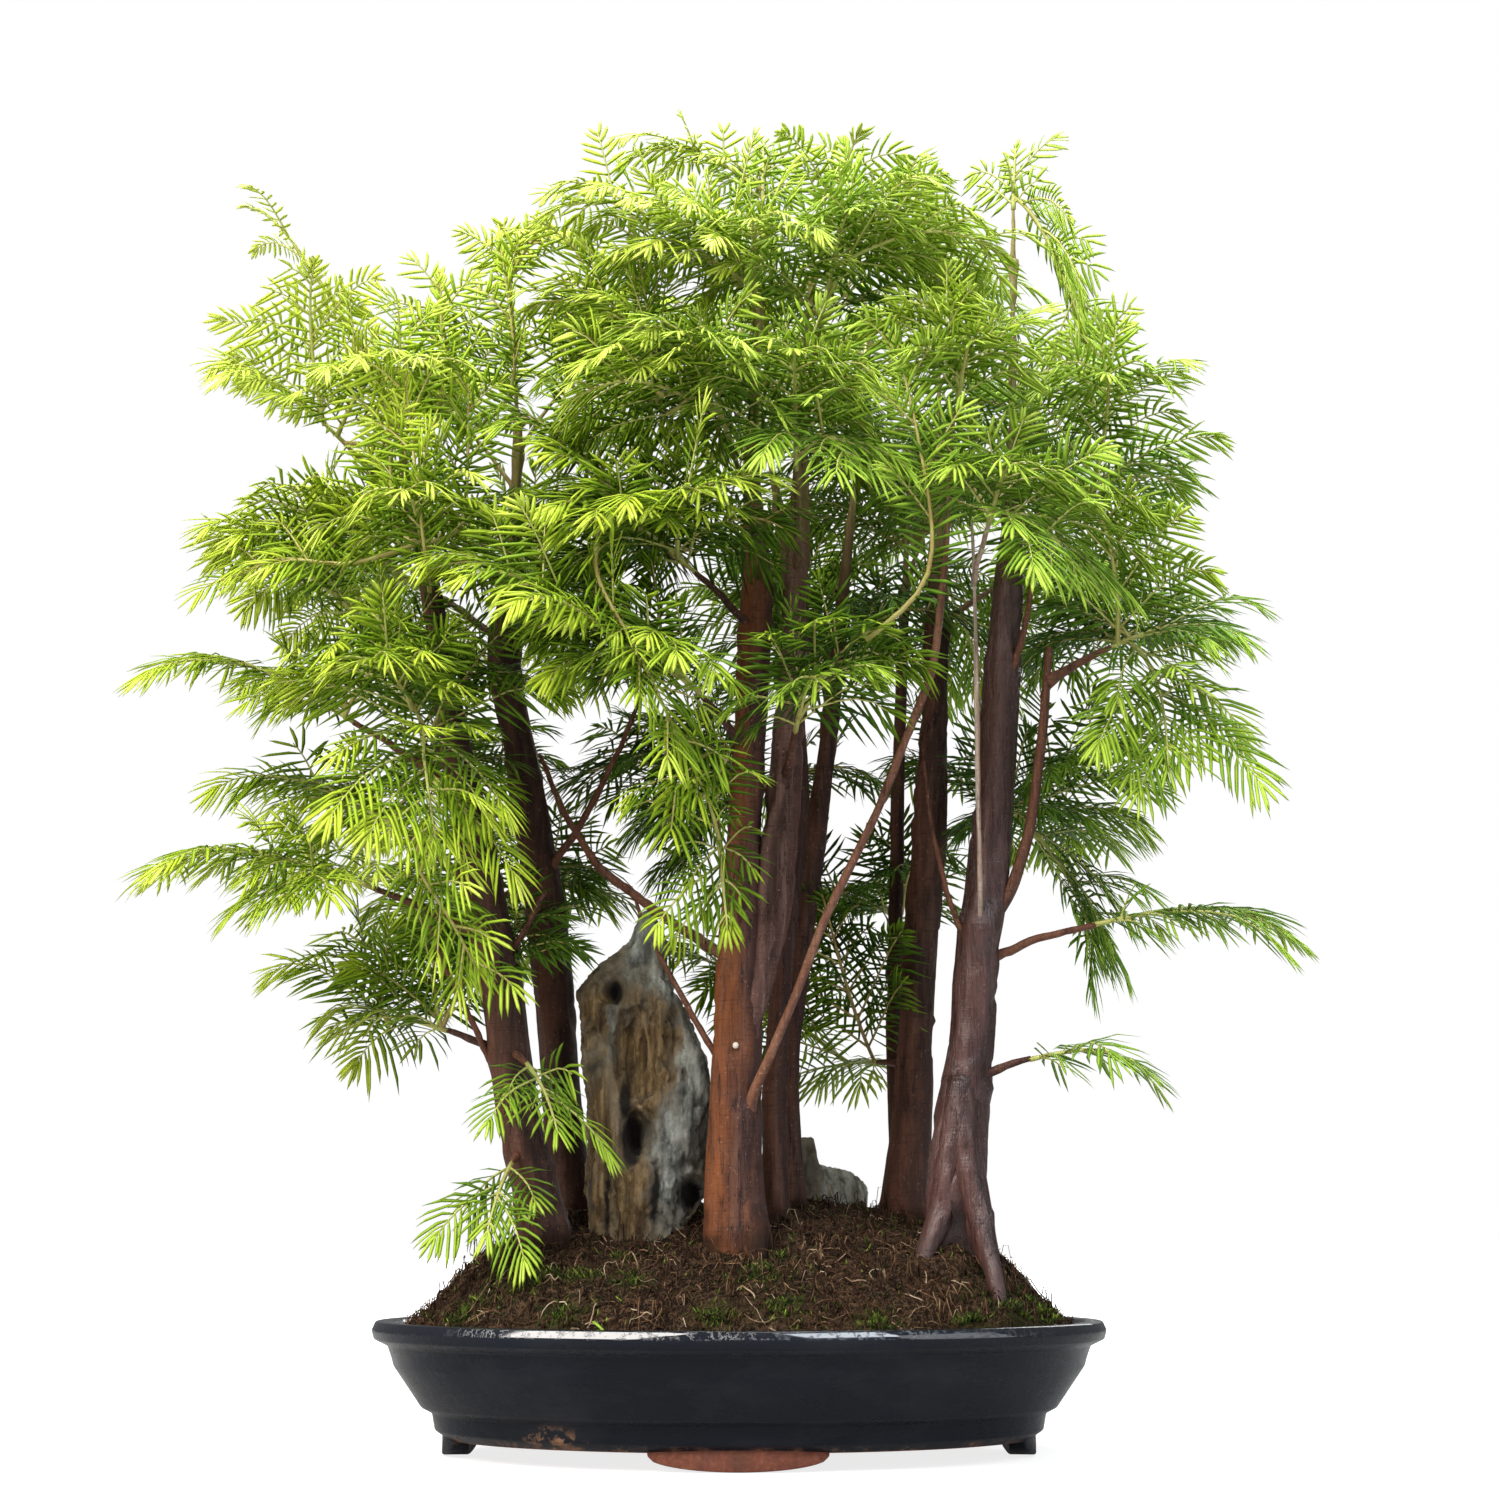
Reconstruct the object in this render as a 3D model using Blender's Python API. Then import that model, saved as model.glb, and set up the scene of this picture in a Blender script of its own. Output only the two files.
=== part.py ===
"""A dawn redwood bonsai forest in an oval glazed tray. Metres, +Z up, the viewer on the -Y side.

The sizes below are measured from the middle of the tray. At the end the empty that carries every
piece is moved, so that the middle of the whole forest stands over the world's origin.
"""
import math
import random

import bmesh
import bpy
import numpy as np
from mathutils import Vector

MM = 0.001
GAP = 0.0003  # between neighbouring pieces
UP = Vector((0, 0, 1))

# Tray
TRAY_LENGTH, TRAY_WIDTH = 0.340, 0.240
TRAY_SEGMENTS = 30
FLOOR_TOP = 0.0135
# Outer profile from the underside to the lip: how far in from the rim's outline, and the height
TRAY_OUTSIDE = (
    (0.0360, 0.0075), (0.0300, 0.0115), (0.0285, 0.0190), (0.0235, 0.0215), (0.0105, 0.0400),
    (0.0095, 0.0435), (0.0075, 0.0490), (0.0012, 0.0520), (0.0000, 0.0560), (0.0018, 0.0600),
)
TRAY_INSIDE = ((0.0095, 0.0600), (0.0120, 0.0570), (0.0165, 0.0400), (0.0330, FLOOR_TOP))
FOOT_ARC, FOOT_DEPTH, FOOT_INSET = math.radians(34), 0.013, 0.0335
FOOT_TOP, FOOT_STEPS, FOOT_THINS, FOOT_BOW = 0.0100, 6, 0.45, 0.002
DRAIN_X, DRAIN_RADIUS, DRAIN_SIDES = 0.070, 0.008, 12
PAST = 0.010  # how far a cutter runs past what it cuts
SCREEN_SIDE, SCREEN_THICK, SCREEN_BAR, SCREEN_HOLES = 0.030, 0.0009, 0.0030, 2

# Soil
SOIL_EDGE_Z, SOIL_RISE = 0.0575, 0.0555
SOIL_HALF_LENGTH, SOIL_HALF_WIDTH = 0.157, 0.107
SOIL_RIDGE_Y, SOIL_FRONT_RUN, SOIL_BACK_RUN = 0.035, 0.142, 0.072
SOIL_EDGE_SHARE, SOIL_LUMP = 0.16, 0.0012
WALL_GAP = 0.0006  # across the tray's sloping walls, which leaves 0.3 mm square to them
SOIL_RINGS = (0.20, 0.42, 0.62, 0.80, 0.93)
HOLE_CLEARANCE = 0.0005
ABOVE_SOIL = 0.145  # a height that the soil stays under

# Trunks: points x, y, z and a radius, all in millimetres, from the butt in the soil to the top
TRUNKS = {
    "trunk_main": ((0, -30, 40, 13), (0, -30, 78, 15), (-2, -30, 100, 14), (-3, -30, 133, 12.5),
                   (-1, -30, 189, 11), (0, -30, 221, 10.7), (2, -30, 288, 8.2), (9, -30, 402, 8),
                   (6, -30, 467, 6.2), (10, -26, 550, 3.4), (11, -25, 574, 2.6)),
    "trunk_slim_front": ((20, 2, 45, 6), (18, 2, 110, 6.2), (16, 2, 157, 6), (20, 4, 215, 5.2),
                         (30, 6, 300, 4.4), (26, 10, 400, 3.4), (14, 16, 500, 2)),
    "trunk_slim_back": ((30, 26, 45, 4.6), (27, 24, 110, 4.8), (24, 22, 160, 4.2),
                        (27, 20, 205, 4.4), (38, 20, 295, 5.2), (48, 26, 370, 4.2),
                        (58, 34, 470, 3), (68, 44, 560, 1.6)),
    "trunk_right_back": ((78, 40, 42, 11), (80, 40, 108, 11.5), (83, 40, 140, 10), (86, 40, 190, 9.2),
                         (90, 40, 250, 9), (95, 40, 310, 8.6), (99, 40, 366, 6.4),
                         (102, 42, 470, 4.6), (104, 44, 556, 2.6)),
    "trunk_thin_back": ((82, 66, 45, 4), (79, 64, 110, 4), (77, 62, 200, 3.8), (80, 62, 306, 3.6),
                        (84, 66, 400, 2.8), (90, 74, 500, 1.6)),
    "trunk_right_front": ((100, -32, 45, 12), (99, -32, 92, 13.5), (98, -32, 112, 14.2),
                          (102, -31, 150, 12), (108, -30, 187, 10), (111, -30, 235, 10.3),
                          (115, -30, 245, 10), (120, -30, 298, 8.8), (126, -30, 372, 8.2),
                          (131, -29, 430, 6.6), (134, -27, 510, 4.6), (135, -26, 572, 2.6)),
    "trunk_left_front": ((-86, -10, 45, 11), (-88, -10, 92, 12.5), (-96, -11, 125, 11),
                         (-104, -12, 155, 9.8), (-110, -12, 195, 9.8), (-114, -13, 225, 10),
                         (-127, -14, 290, 8.9), (-137, -15, 335, 7), (-149, -16, 400, 5),
                         (-165, -18, 473, 3.2), (-192, -21, 542, 1.5)),
    "trunk_left_back": ((-80, 35, 45, 9.6), (-81, 35, 105, 10.2), (-87, 36, 170, 9.8),
                        (-96, 36, 253, 9.8), (-106, 36, 313, 9.8), (-114, 36, 350, 8),
                        (-120, 36, 375, 8.8), (-115, 35, 425, 6.2), (-114, 33, 500, 4),
                        (-117, 31, 546, 2.6)),
}
TRUNK_SIDES = {"trunk_slim_front": 6, "trunk_slim_back": 6, "trunk_thin_back": 5}
# Limbs that grew as one with a trunk, in the same form as the trunks
LIMBS = {
    "fork": ("trunk_main", 7, ((6, -34, 198, 5), (12, -32, 225, 7.2), (16, -31, 250, 8.6),
                               (20, -30, 296, 8.2), (26, -29, 366, 6.4), (28, -28, 415, 6),
                               (31, -28, 505, 4), (36, -26, 585, 1.8))),
    "leader": ("trunk_main", 5, ((4, -38, 158, 2.6), (13, -50, 176, 2.2), (26, -56, 206, 2.1),
                                 (38, -58, 238, 2), (63, -62, 288, 1.9), (90, -66, 356, 1.8),
                                 (97, -70, 418, 1.5), (98, -74, 470, 1.2))),
    "pale_stem": ("trunk_right_front", 5, ((112, -34, 228, 1.8), (111, -48, 262, 1.5),
                                           (111, -50, 300, 1.5), (111, -51, 369, 1.4),
                                           (110, -52, 430, 1.2))),
    "side_branch": ("trunk_right_front", 5, ((116, -30, 240, 3.4), (127, -34, 256, 3.2),
                                             (136, -36, 284, 2.9), (143, -38, 330, 2.6),
                                             (147, -38, 372, 1.8))),
    "left_root": ("trunk_right_front", 6, ((100, -32, 125, 7), (92, -40, 106, 6.6),
                                           (83, -46, 88, 4.6), (78, -50, 72, 3.4))),
    "right_root": ("trunk_right_front", 6, ((102, -34, 128, 7), (109, -46, 104, 6.8),
                                            (114, -56, 82, 4.8), (116, -62, 64, 3.4))),
    "main_root": ("trunk_main", 6, ((2, -34, 108, 8), (6, -42, 94, 7.5), (9, -50, 78, 5),
                                    (10, -54, 62, 3.6))),
}

# Branches: the trunk or limb each one grows from, the height that it leaves it at, and where its
# leafy tips reach, x, y and z, all in millimetres. Every branch ends in one spray.
BRANCHES = (
    ("trunk_left_front", 520, ((-253, -28, 607),)),
    ("trunk_left_front", 440, ((-263, -35, 517), (-205, -75, 560))),
    ("trunk_left_front", 350, ((-266, -4, 431), (-215, -70, 450))),
    ("trunk_left_front", 300, ((-290, -22, 367),)),
    ("trunk_left_front", 255, ((-256, 40, 318),)),
    ("trunk_left_front", 232, ((-281, -48, 262), (-209, -84, 246))),
    ("trunk_left_front", 180, ((-200, 6, 194),)),
    ("trunk_left_front", 140, ((-114, -64, 92),)),
    ("trunk_left_front", 184, ((-77, -72, 138),)),
    ("trunk_left_front", 290, ((-172, -118, 352), (-133, -112, 262))),
    ("trunk_left_front", 380, ((-152, -120, 430),)),
    ("trunk_left_back", 544, ((-122, 8, 616), (-88, -26, 592))),
    ("trunk_left_back", 470, ((-192, 72, 548), (-150, 120, 560))),
    ("trunk_left_back", 390, ((-244, 92, 450), (-200, 140, 420))),
    ("trunk_left_back", 300, ((-238, 96, 290),)),
    ("trunk_left_back", 410, ((-118, 160, 480), (-70, 150, 400))),
    ("trunk_left_back", 490, ((-58, 92, 578), (-92, 42, 586))),
    ("trunk_left_back", 262, ((-164, 140, 246), (-140, 158, 322))),
    ("trunk_main", 572, ((12, -14, 649), (-66, -24, 629))),
    ("trunk_main", 505, ((6, -138, 552), (-62, -100, 548))),
    ("trunk_main", 430, ((-30, -145, 496), (-82, -122, 470))),
    ("trunk_main", 380, ((-76, -130, 408), (-18, -148, 420))),
    ("trunk_main", 322, ((-56, -132, 348), (-98, -96, 372))),
    ("trunk_main", 236, ((-22, -118, 300), (-6, -88, 232))),
    ("fork", 540, ((62, -62, 634),)),
    ("fork", 485, ((54, -135, 560), (92, -110, 585))),
    ("fork", 410, ((24, -152, 486), (52, -138, 436))),
    ("fork", 305, ((36, -128, 340), (68, -104, 372))),
    ("leader", 455, ((106, -136, 496), (78, -130, 520))),
    ("trunk_slim_front", 455, ((-14, 96, 606), (-20, 148, 520))),
    ("trunk_slim_front", 300, ((-24, 140, 318),)),
    ("trunk_slim_back", 510, ((72, 118, 604), (30, 150, 560))),
    ("trunk_slim_back", 350, ((36, 162, 404),)),
    ("trunk_right_back", 554, ((90, 36, 638), (150, 104, 590))),
    ("trunk_right_back", 400, ((196, 116, 448), (180, 62, 512))),
    ("trunk_right_back", 290, ((206, 108, 300), (188, 52, 228))),
    ("trunk_right_back", 178, ((34, 98, 172),)),
    ("trunk_thin_back", 420, ((112, 164, 492), (140, 160, 392))),
    ("trunk_thin_back", 230, ((92, 154, 280),)),
    ("trunk_right_front", 570, ((139, -20, 643), (172, -40, 528))),
    ("trunk_right_front", 430, ((226, -8, 462), (172, -104, 492))),
    ("side_branch", 355, ((241, -26, 382), (200, -82, 300))),
    ("trunk_right_front", 222, ((272, -28, 232),)),
    ("trunk_right_front", 168, ((192, -58, 172),)),
    ("pale_stem", 400, ((124, -138, 436), (158, -122, 384))),
)
WOODY_SHARE = 0.36  # how much of a branch is bare wood, the rest is its leafy spray
BRANCH_LIFT = 0.22  # how far a branch arches above its chord, as a share of it
FORK_AT = 0.16  # where the second tip leaves a spray
LAST_NEEDLES = 0.009  # how far the last needles reach past the end of their stem
BUTT_RADIUS, BRANCH_TAPER = 0.0013, 0.0012

# Sprays
SHOOT_RADIUS = 0.00085
SUNK_ROOT = 0.35  # a stem starts this thin on the middle line of the one that it grows from
SHOOT_ANGLE = math.radians(48)
SHOOT_LENGTH = 0.066
SHOOT_BARE = 0.10
CAD_SHOOTS = ((0.30, 1), (0.52, -1))  # where a side shoot leaves its axis, and on which side
NEEDLE_LENGTH, NEEDLE_WIDTH, NEEDLE_PITCH = 0.022, 0.0022, 0.0290
NEEDLE_LEAN = math.radians(52)  # between a needle and the shoot it grows from
BARE_SHARE = 0.34  # the part of an axis with no needles of its own
NEEDLE_HALF = 0.0008  # a needle's half width where it is tested against its neighbours
NEEDLE_CLEARANCE = 0.0006
STEM_CLEARANCE = 0.0010
AT_BRANCH = 0.4  # the share of a spray's first straight run that lies close to its own branch
BARE_SIDES, BARE_STEPS = 3, 3

# Fronds: side branches of the sprays that fill the crown. The crown's outline: a height, then how
# far it reaches to the left, to the right, to the front and to the back, all in millimetres.
CROWN_ROWS = (
    (200, -190, 130, -60, 80), (250, -226, 165, -95, 115), (300, -240, 196, -120, 142),
    (370, -252, 218, -134, 152), (440, -238, 212, -138, 156), (520, -206, 182, -132, 150),
    (580, -132, 142, -108, 128), (625, -70, 118, -70, 90),
)
FROND_LOW, FROND_HIGH = 235, 622  # the heights that their tips lie between, in millimetres
FROND_COUNT, FROND_TRIES, FROND_SEED = 66, 30, 77
FROND_STARTS = (0.06, 0.18, 0.30, 0.42, 0.54, 0.66)  # where they may leave a spray's first axis
FROND_SHORTEST, FROND_LONGEST, FROND_RISE = 0.050, 0.130, 0.55
FROND_CLEARANCE, FROND_TO_WOOD = 0.0038, 0.0030
FROND_BARE = 0.14
# The heights between which fronds hide a trunk, seen from the front, and where their tips then lie
HIDDEN = {"trunk_main": (405, 540), "trunk_right_front": (385, 570), "trunk_left_front": (350, 450),
          "trunk_left_back": (350, 500)}
HIDING_TRIES, HIDING_SHARE = 2, 1.4
HIDING_SIDEWAYS, HIDING_NEAR, HIDING_FAR = 24, 34, 74
SAMPLE_STEP = 0.003

# Stones: centre, half sizes in x and y, and rings as height, share of the width, share of the
# depth and a shift in x, all real sizes in millimetres apart from the shares
TALL_STONE_CENTRE = (-46, -8)
TALL_STONE_HALF = (29, 19)
TALL_STONE_RINGS = (
    (84, 0.78, 0.88, 0), (99, 0.80, 0.90, 1), (118, 0.96, 0.96, 1), (140, 1.00, 1.00, 3),
    (160, 1.04, 1.00, 3), (178, 1.00, 0.92, 1), (196, 0.92, 0.80, -3), (212, 0.84, 0.66, -6),
    (224, 0.60, 0.50, -4), (234, 0.34, 0.34, 3), (243, 0.12, 0.16, 2),
)
TALL_STONE_HOLLOWS = (
    # centre x, y, z and half sizes, in millimetres
    ((-48, -30, 182), (14, 19, 29)), ((-46, -31, 146), (8, 17, 14)), ((-61, -22, 211), (6, 12, 8)),
    ((-24, -26, 128), (6, 10, 9)),
)
LOW_STONE_CENTRE = (44, 84)
LOW_STONE_HALF = (22, 10)
LOW_STONE_RINGS = (
    (76, 1.00, 1.00, 0), (96, 1.02, 1.00, 0), (118, 0.98, 0.92, -1), (134, 0.70, 0.74, -5),
    (145, 0.36, 0.40, -10),
)
STONE_SIDES = 13
STONE_LUMPS = 0.09, 0.06  # broad and narrow, as shares of its half size
POCKET_GAP = 0.8  # millimetres round a stone, which leaves 0.3 mm or more square to its sides


def clear_scene():
    for obj in list(bpy.data.objects):
        bpy.data.objects.remove(obj)


def material(name, colour, roughness):
    if name in bpy.data.materials:
        return bpy.data.materials[name]
    made = bpy.data.materials.new(name)
    made.use_nodes = True
    shader = made.node_tree.nodes["Principled BSDF"]
    shader.inputs["Base Color"].default_value = (*colour, 1)
    shader.inputs["Roughness"].default_value = roughness
    shader.inputs["Metallic"].default_value = 0
    return made


def place(name, mesh, finish, forest):
    mesh.materials.clear()
    mesh.materials.append(finish)
    obj = bpy.data.objects.new(name, mesh)
    bpy.context.scene.collection.objects.link(obj)
    obj.parent = forest
    return obj


def mesh_of(name, points, faces):
    mesh = bpy.data.meshes.new(name)
    mesh.from_pydata([tuple(p) for p in points], [], faces)
    mesh.update()
    return mesh


def with_boolean(mesh, others, operation):
    """The mesh joined with, or cut by, the other meshes. The helpers are removed again."""
    scene = bpy.context.scene
    base = bpy.data.objects.new("base", mesh)
    scene.collection.objects.link(base)
    helpers = bpy.data.collections.new("helpers")
    for other in others:
        helper = bpy.data.objects.new("helper", other)
        helper.hide_render = True
        helper.display_type = "WIRE"
        helpers.objects.link(helper)
    scene.collection.children.link(helpers)
    modifier = base.modifiers.new("join", "BOOLEAN")
    modifier.operation = operation
    modifier.operand_type = "COLLECTION"
    modifier.collection = helpers
    for solver in ("EXACT", "MANIFOLD"):
        modifier.solver = solver
        graph = bpy.context.evaluated_depsgraph_get()
        result = in_triangles(bpy.data.meshes.new_from_object(base.evaluated_get(graph)))
        if is_closed(result):
            break
    for helper in list(helpers.objects):
        bpy.data.objects.remove(helper)
    bpy.data.collections.remove(helpers)
    bpy.data.objects.remove(base)
    return result


def in_triangles(mesh):
    shape = bmesh.new()
    shape.from_mesh(mesh)
    bmesh.ops.triangulate(shape, faces=shape.faces)
    shape.to_mesh(mesh)
    shape.free()
    return mesh


def is_closed(mesh):
    """Whether every edge has two faces."""
    shape = bmesh.new()
    shape.from_mesh(mesh)
    closed = all(len(edge.link_faces) == 2 for edge in shape.edges)
    shape.free()
    return closed


# Tray

def oval(inset, z, count=TRAY_SEGMENTS):
    """A ring of the tray, a constant distance in from the rim's outline."""
    ring = []
    for k in range(count):
        turn = 2 * math.pi * k / count
        x = (TRAY_LENGTH / 2 - inset) * math.cos(turn)
        y = (TRAY_WIDTH / 2 - inset) * math.sin(turn)
        ring.append(Vector((x, y, z)))
    return ring


def stacked(name, rings):
    """A closed solid over rings of equal count, run from the lowest one up the outside."""
    count = len(rings[0])
    points = [p for ring in rings for p in ring]
    faces = [tuple(reversed(range(count)))]
    for r in range(len(rings) - 1):
        for k in range(count):
            a, b = r * count + k, r * count + (k + 1) % count
            faces += [(a, b, b + count), (a, b + count, a + count)]
    last = (len(rings) - 1) * count
    faces.append(tuple(range(last, last + count)))
    return mesh_of(name, points, faces)


def foot(turn):
    """One lobed foot, an arc that follows the tray's edge."""
    rings = []
    for k in range(FOOT_STEPS + 1):
        share = 2 * k / FOOT_STEPS - 1
        angle = turn + share * FOOT_ARC / 2
        outer = FOOT_INSET + FOOT_BOW * share * share
        inner = outer + FOOT_DEPTH * (1 - FOOT_THINS * share * share)
        section = []
        for inset, z in ((outer, 0), (inner, 0), (inner, FOOT_TOP), (outer, FOOT_TOP)):
            x = (TRAY_LENGTH / 2 - inset) * math.cos(angle)
            y = (TRAY_WIDTH / 2 - inset) * math.sin(angle)
            section.append(Vector((x, y, z)))
        rings.append(section)
    points = [p for ring in rings for p in ring]
    faces = [(3, 2, 1, 0), tuple(4 * FOOT_STEPS + k for k in (0, 1, 2, 3))]
    for r in range(FOOT_STEPS):
        for k in range(4):
            a, b = 4 * r + k, 4 * r + (k + 1) % 4
            faces.append((a, b, b + 4, a + 4))
    return mesh_of("foot", points, faces)


def cylinder(x, y, low, high, radius, sides):
    rings = []
    for z in (low, high):
        rings.append([Vector((x + radius * math.cos(2 * math.pi * k / sides),
                              y + radius * math.sin(2 * math.pi * k / sides), z))
                      for k in range(sides)])
    return stacked("cylinder", rings)


def block(low, high):
    (x0, y0, z0), (x1, y1, z1) = low, high
    rings = [[Vector((x, y, z)) for x, y in ((x0, y0), (x1, y0), (x1, y1), (x0, y1))] for z in (z0, z1)]
    return stacked("block", rings)


def make_tray():
    rings = [oval(inset, z) for inset, z in TRAY_OUTSIDE + TRAY_INSIDE]
    body = stacked("tray", rings)
    feet = [foot(turn) for turn in (0, math.pi / 2, math.pi, 1.5 * math.pi)]
    body = with_boolean(body, feet, "UNION")
    drains = [cylinder(side * DRAIN_X, 0, -PAST, FLOOR_TOP + PAST, DRAIN_RADIUS, DRAIN_SIDES)
              for side in (-1, 1)]
    return with_boolean(body, drains, "DIFFERENCE")


def make_screen(side):
    """A square of plastic mesh over one drain hole."""
    low_z = FLOOR_TOP + GAP
    half = SCREEN_SIDE / 2
    centre = side * DRAIN_X
    plate = block((centre - half, -half, low_z), (centre + half, half, low_z + SCREEN_THICK))
    window = (SCREEN_SIDE - SCREEN_BAR * (SCREEN_HOLES + 1)) / SCREEN_HOLES
    cutters = []
    for i in range(SCREEN_HOLES):
        for j in range(SCREEN_HOLES):
            x = centre - half + SCREEN_BAR + i * (window + SCREEN_BAR)
            y = -half + SCREEN_BAR + j * (window + SCREEN_BAR)
            cutters.append(block((x, y, low_z - PAST), (x + window, y + window, low_z + PAST)))
    return with_boolean(plate, cutters, "DIFFERENCE")


# Soil

def soil_height(x, y):
    """The mound: a ridge behind the middle, level along most of the tray, with small lumps."""
    edge = math.hypot(x / SOIL_HALF_LENGTH, y / SOIL_HALF_WIDTH)
    run = SOIL_FRONT_RUN if y < SOIL_RIDGE_Y else SOIL_BACK_RUN
    across = 1 - min(1, abs(y - SOIL_RIDGE_Y) / run) ** 1.5
    along = 1 - min(1, abs(x) / SOIL_HALF_LENGTH) ** 3.4
    rim = min(1, max(0, 1 - edge) / SOIL_EDGE_SHARE) ** 0.7
    lumps = SOIL_LUMP * math.sin(61 * x + 2 * math.sin(47 * y)) * math.sin(83 * y + 1.3) * rim
    return SOIL_EDGE_Z + SOIL_RISE * across * along * rim + lumps


def make_soil(cutters):
    def ring_at(share, z=None):
        ring = []
        for k in range(TRAY_SEGMENTS):
            turn = 2 * math.pi * k / TRAY_SEGMENTS
            x = SOIL_HALF_LENGTH * share * math.cos(turn)
            y = SOIL_HALF_WIDTH * share * math.sin(turn)
            ring.append(Vector((x, y, soil_height(x, y) if z is None else z)))
        return ring

    (brim, brim_z), (wall, wall_z), (corner, floor_z) = TRAY_INSIDE[1:]
    rings = [oval(corner + WALL_GAP, floor_z + GAP), oval(wall + WALL_GAP, wall_z),
             oval(brim + WALL_GAP, brim_z - GAP)]
    rings += [ring_at(share) for share in reversed(SOIL_RINGS)]
    mound = stacked("soil", rings)
    shape = bmesh.new()
    shape.from_mesh(mound)
    top = max(shape.faces, key=lambda face: face.calc_center_median().z if len(face.verts) > 4 else 0)
    bmesh.ops.poke(shape, faces=[top])
    shape.verts.ensure_lookup_table()
    shape.verts[-1].co.z = soil_height(0, 0)
    bmesh.ops.triangulate(shape, faces=shape.faces)
    shape.to_mesh(mound)
    shape.free()
    for side in (-1, 1):
        half = SCREEN_SIDE / 2 + 2 * GAP
        x = side * DRAIN_X
        top = FLOOR_TOP + 2 * GAP + SCREEN_THICK
        cutters.append(block((x - half, -half, FLOOR_TOP - PAST), (x + half, half, top)))
    return with_boolean(mound, cutters, "DIFFERENCE")


# Wood

def smooth_path(points, steps):
    """Points and radii along a smooth curve through the given ones (a Catmull-Rom spline)."""
    ends = [points[0] * 2 - points[1]] + list(points) + [points[-1] * 2 - points[-2]]
    out = []
    for k in range(1, len(ends) - 2):
        a, b, c, d = ends[k - 1:k + 3]
        for j in range(steps):
            t = j / steps
            out.append(0.5 * ((2 * b) + (c - a) * t + (2 * a - 5 * b + 4 * c - d) * t * t
                              + (3 * b - a - 3 * c + d) * t ** 3))
    out.append(points[-1].copy())
    return out


def tube(points, radii, sides, name="tube"):
    """A closed tube with flat ends along the points."""
    side = Vector((1, 0, 0))
    rings = []
    for k, point in enumerate(points):
        along = (points[min(k + 1, len(points) - 1)] - points[max(k - 1, 0)]).normalized()
        side = (side - along * side.dot(along)).normalized()
        other = along.cross(side)
        rings.append([point + (side * math.cos(turn) + other * math.sin(turn)) * radii[k]
                      for turn in (2 * math.pi * j / sides for j in range(sides))])
    return stacked(name, rings)


def woody_run(listed, steps=1):
    """The points and radii of a trunk or limb that is listed in millimetres."""
    points = [Vector(row[:3]) * MM for row in listed]
    radii = [row[3] * MM for row in listed]
    if steps == 1:
        return points, radii
    even = [a + (b - a) * j / steps for a, b in zip(radii, radii[1:]) for j in range(steps)]
    return smooth_path(points, steps), even + radii[-1:]


def point_on(wood, height):
    """The place on a trunk's or limb's middle line at a height in millimetres."""
    listed = TRUNKS[wood] if wood in TRUNKS else LIMBS[wood][2]
    rising = sorted(listed, key=lambda row: row[2])
    for low, high in zip(rising, rising[1:]):
        if low[2] <= height <= high[2]:
            share = (height - low[2]) / (high[2] - low[2])
            return Vector(low[:3]).lerp(Vector(high[:3]), share) * MM
    return Vector(rising[-1][:3]) * MM


def arc(start, bend, end, t):
    return start * (1 - t) ** 2 + bend * 2 * t * (1 - t) + end * t * t


class Axis:
    """A leafy axis from its butt to its tip, an arc that rises and then nods over."""

    def __init__(self, start, tip, number, lift=BRANCH_LIFT, first=0.0, way=None):
        span = tip - start
        self.start, self.tip, self.number, self.first = start, tip, number, first
        self.bend = start + span * 0.5 + UP * (lift * span.length)
        if way is not None:
            self.bend = start + span * 0.40 + (way * 0.14 + UP * 0.10) * span.length

    def at(self, share):
        return arc(self.start, self.bend, self.tip, self.first + (1 - self.first) * share)

    def way(self, share):
        t = self.first + (1 - self.first) * share
        return ((self.bend - self.start) * (1 - t) + (self.tip - self.bend) * t).normalized()

    def length(self):
        return sum((self.at((k + 1) / 8) - self.at(k / 8)).length for k in range(8))

    def flat(self, share):
        """The sideways direction in the plane that the spray lies in."""
        way = self.way(share)
        out = way.cross(UP)
        if out.length < 0.35:
            out = way.cross(Vector((self.tip.x, self.tip.y + 0.3, 0)))
        out.normalize()
        roll = 0.35 * steady(self.number, 7)
        return (out * math.cos(roll) + out.cross(way) * math.sin(roll)).normalized()


def steady(number, key):
    """A value from -1 to 1 that is the same on every run."""
    return 2 * random.Random(number * 131 + key).random() - 1


def branch_axes(index):
    """The bare wood of one branch and the leafy axes of its spray."""
    wood, height, tips = BRANCHES[index]
    start = point_on(wood, height)
    ends = [Vector(tip) * MM for tip in tips]
    ends = [end - (end - start).normalized() * LAST_NEEDLES for end in ends]
    whole = Axis(start, ends[0], index * 4)
    main = Axis(start, ends[0], index * 4, first=WOODY_SHARE)
    axes = [main]
    for k, end in enumerate(ends[1:]):
        axes.append(Axis(main.at(FORK_AT), end, index * 4 + 1 + k, way=main.way(FORK_AT)))
    return whole, axes


def shoot_path(axis, share, side):
    """A side shoot: its points, and the direction that its needles lie along at each point."""
    key = int(share * 1000) + side
    angle = SHOOT_ANGLE + 0.16 * steady(axis.number, key)
    reach = min(SHOOT_LENGTH, 0.62 * axis.length() + 0.012)
    length = reach * (1.10 - 0.55 * share) * (1 + 0.12 * steady(axis.number, key + 17))
    way, flat = axis.way(share), axis.flat(share)
    out = way * math.cos(angle) + flat * (side * math.sin(angle))
    normal = flat.cross(way).normalized()
    droop = 0.16 + 0.10 * steady(axis.number, key + 31)
    points = []
    for k in range(9):
        t = k / 8
        points.append(axis.at(share) + out * (length * t) + way * (0.12 * length * t * t)
                      - UP * (droop * length * t * t))
    return points, normal


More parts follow.
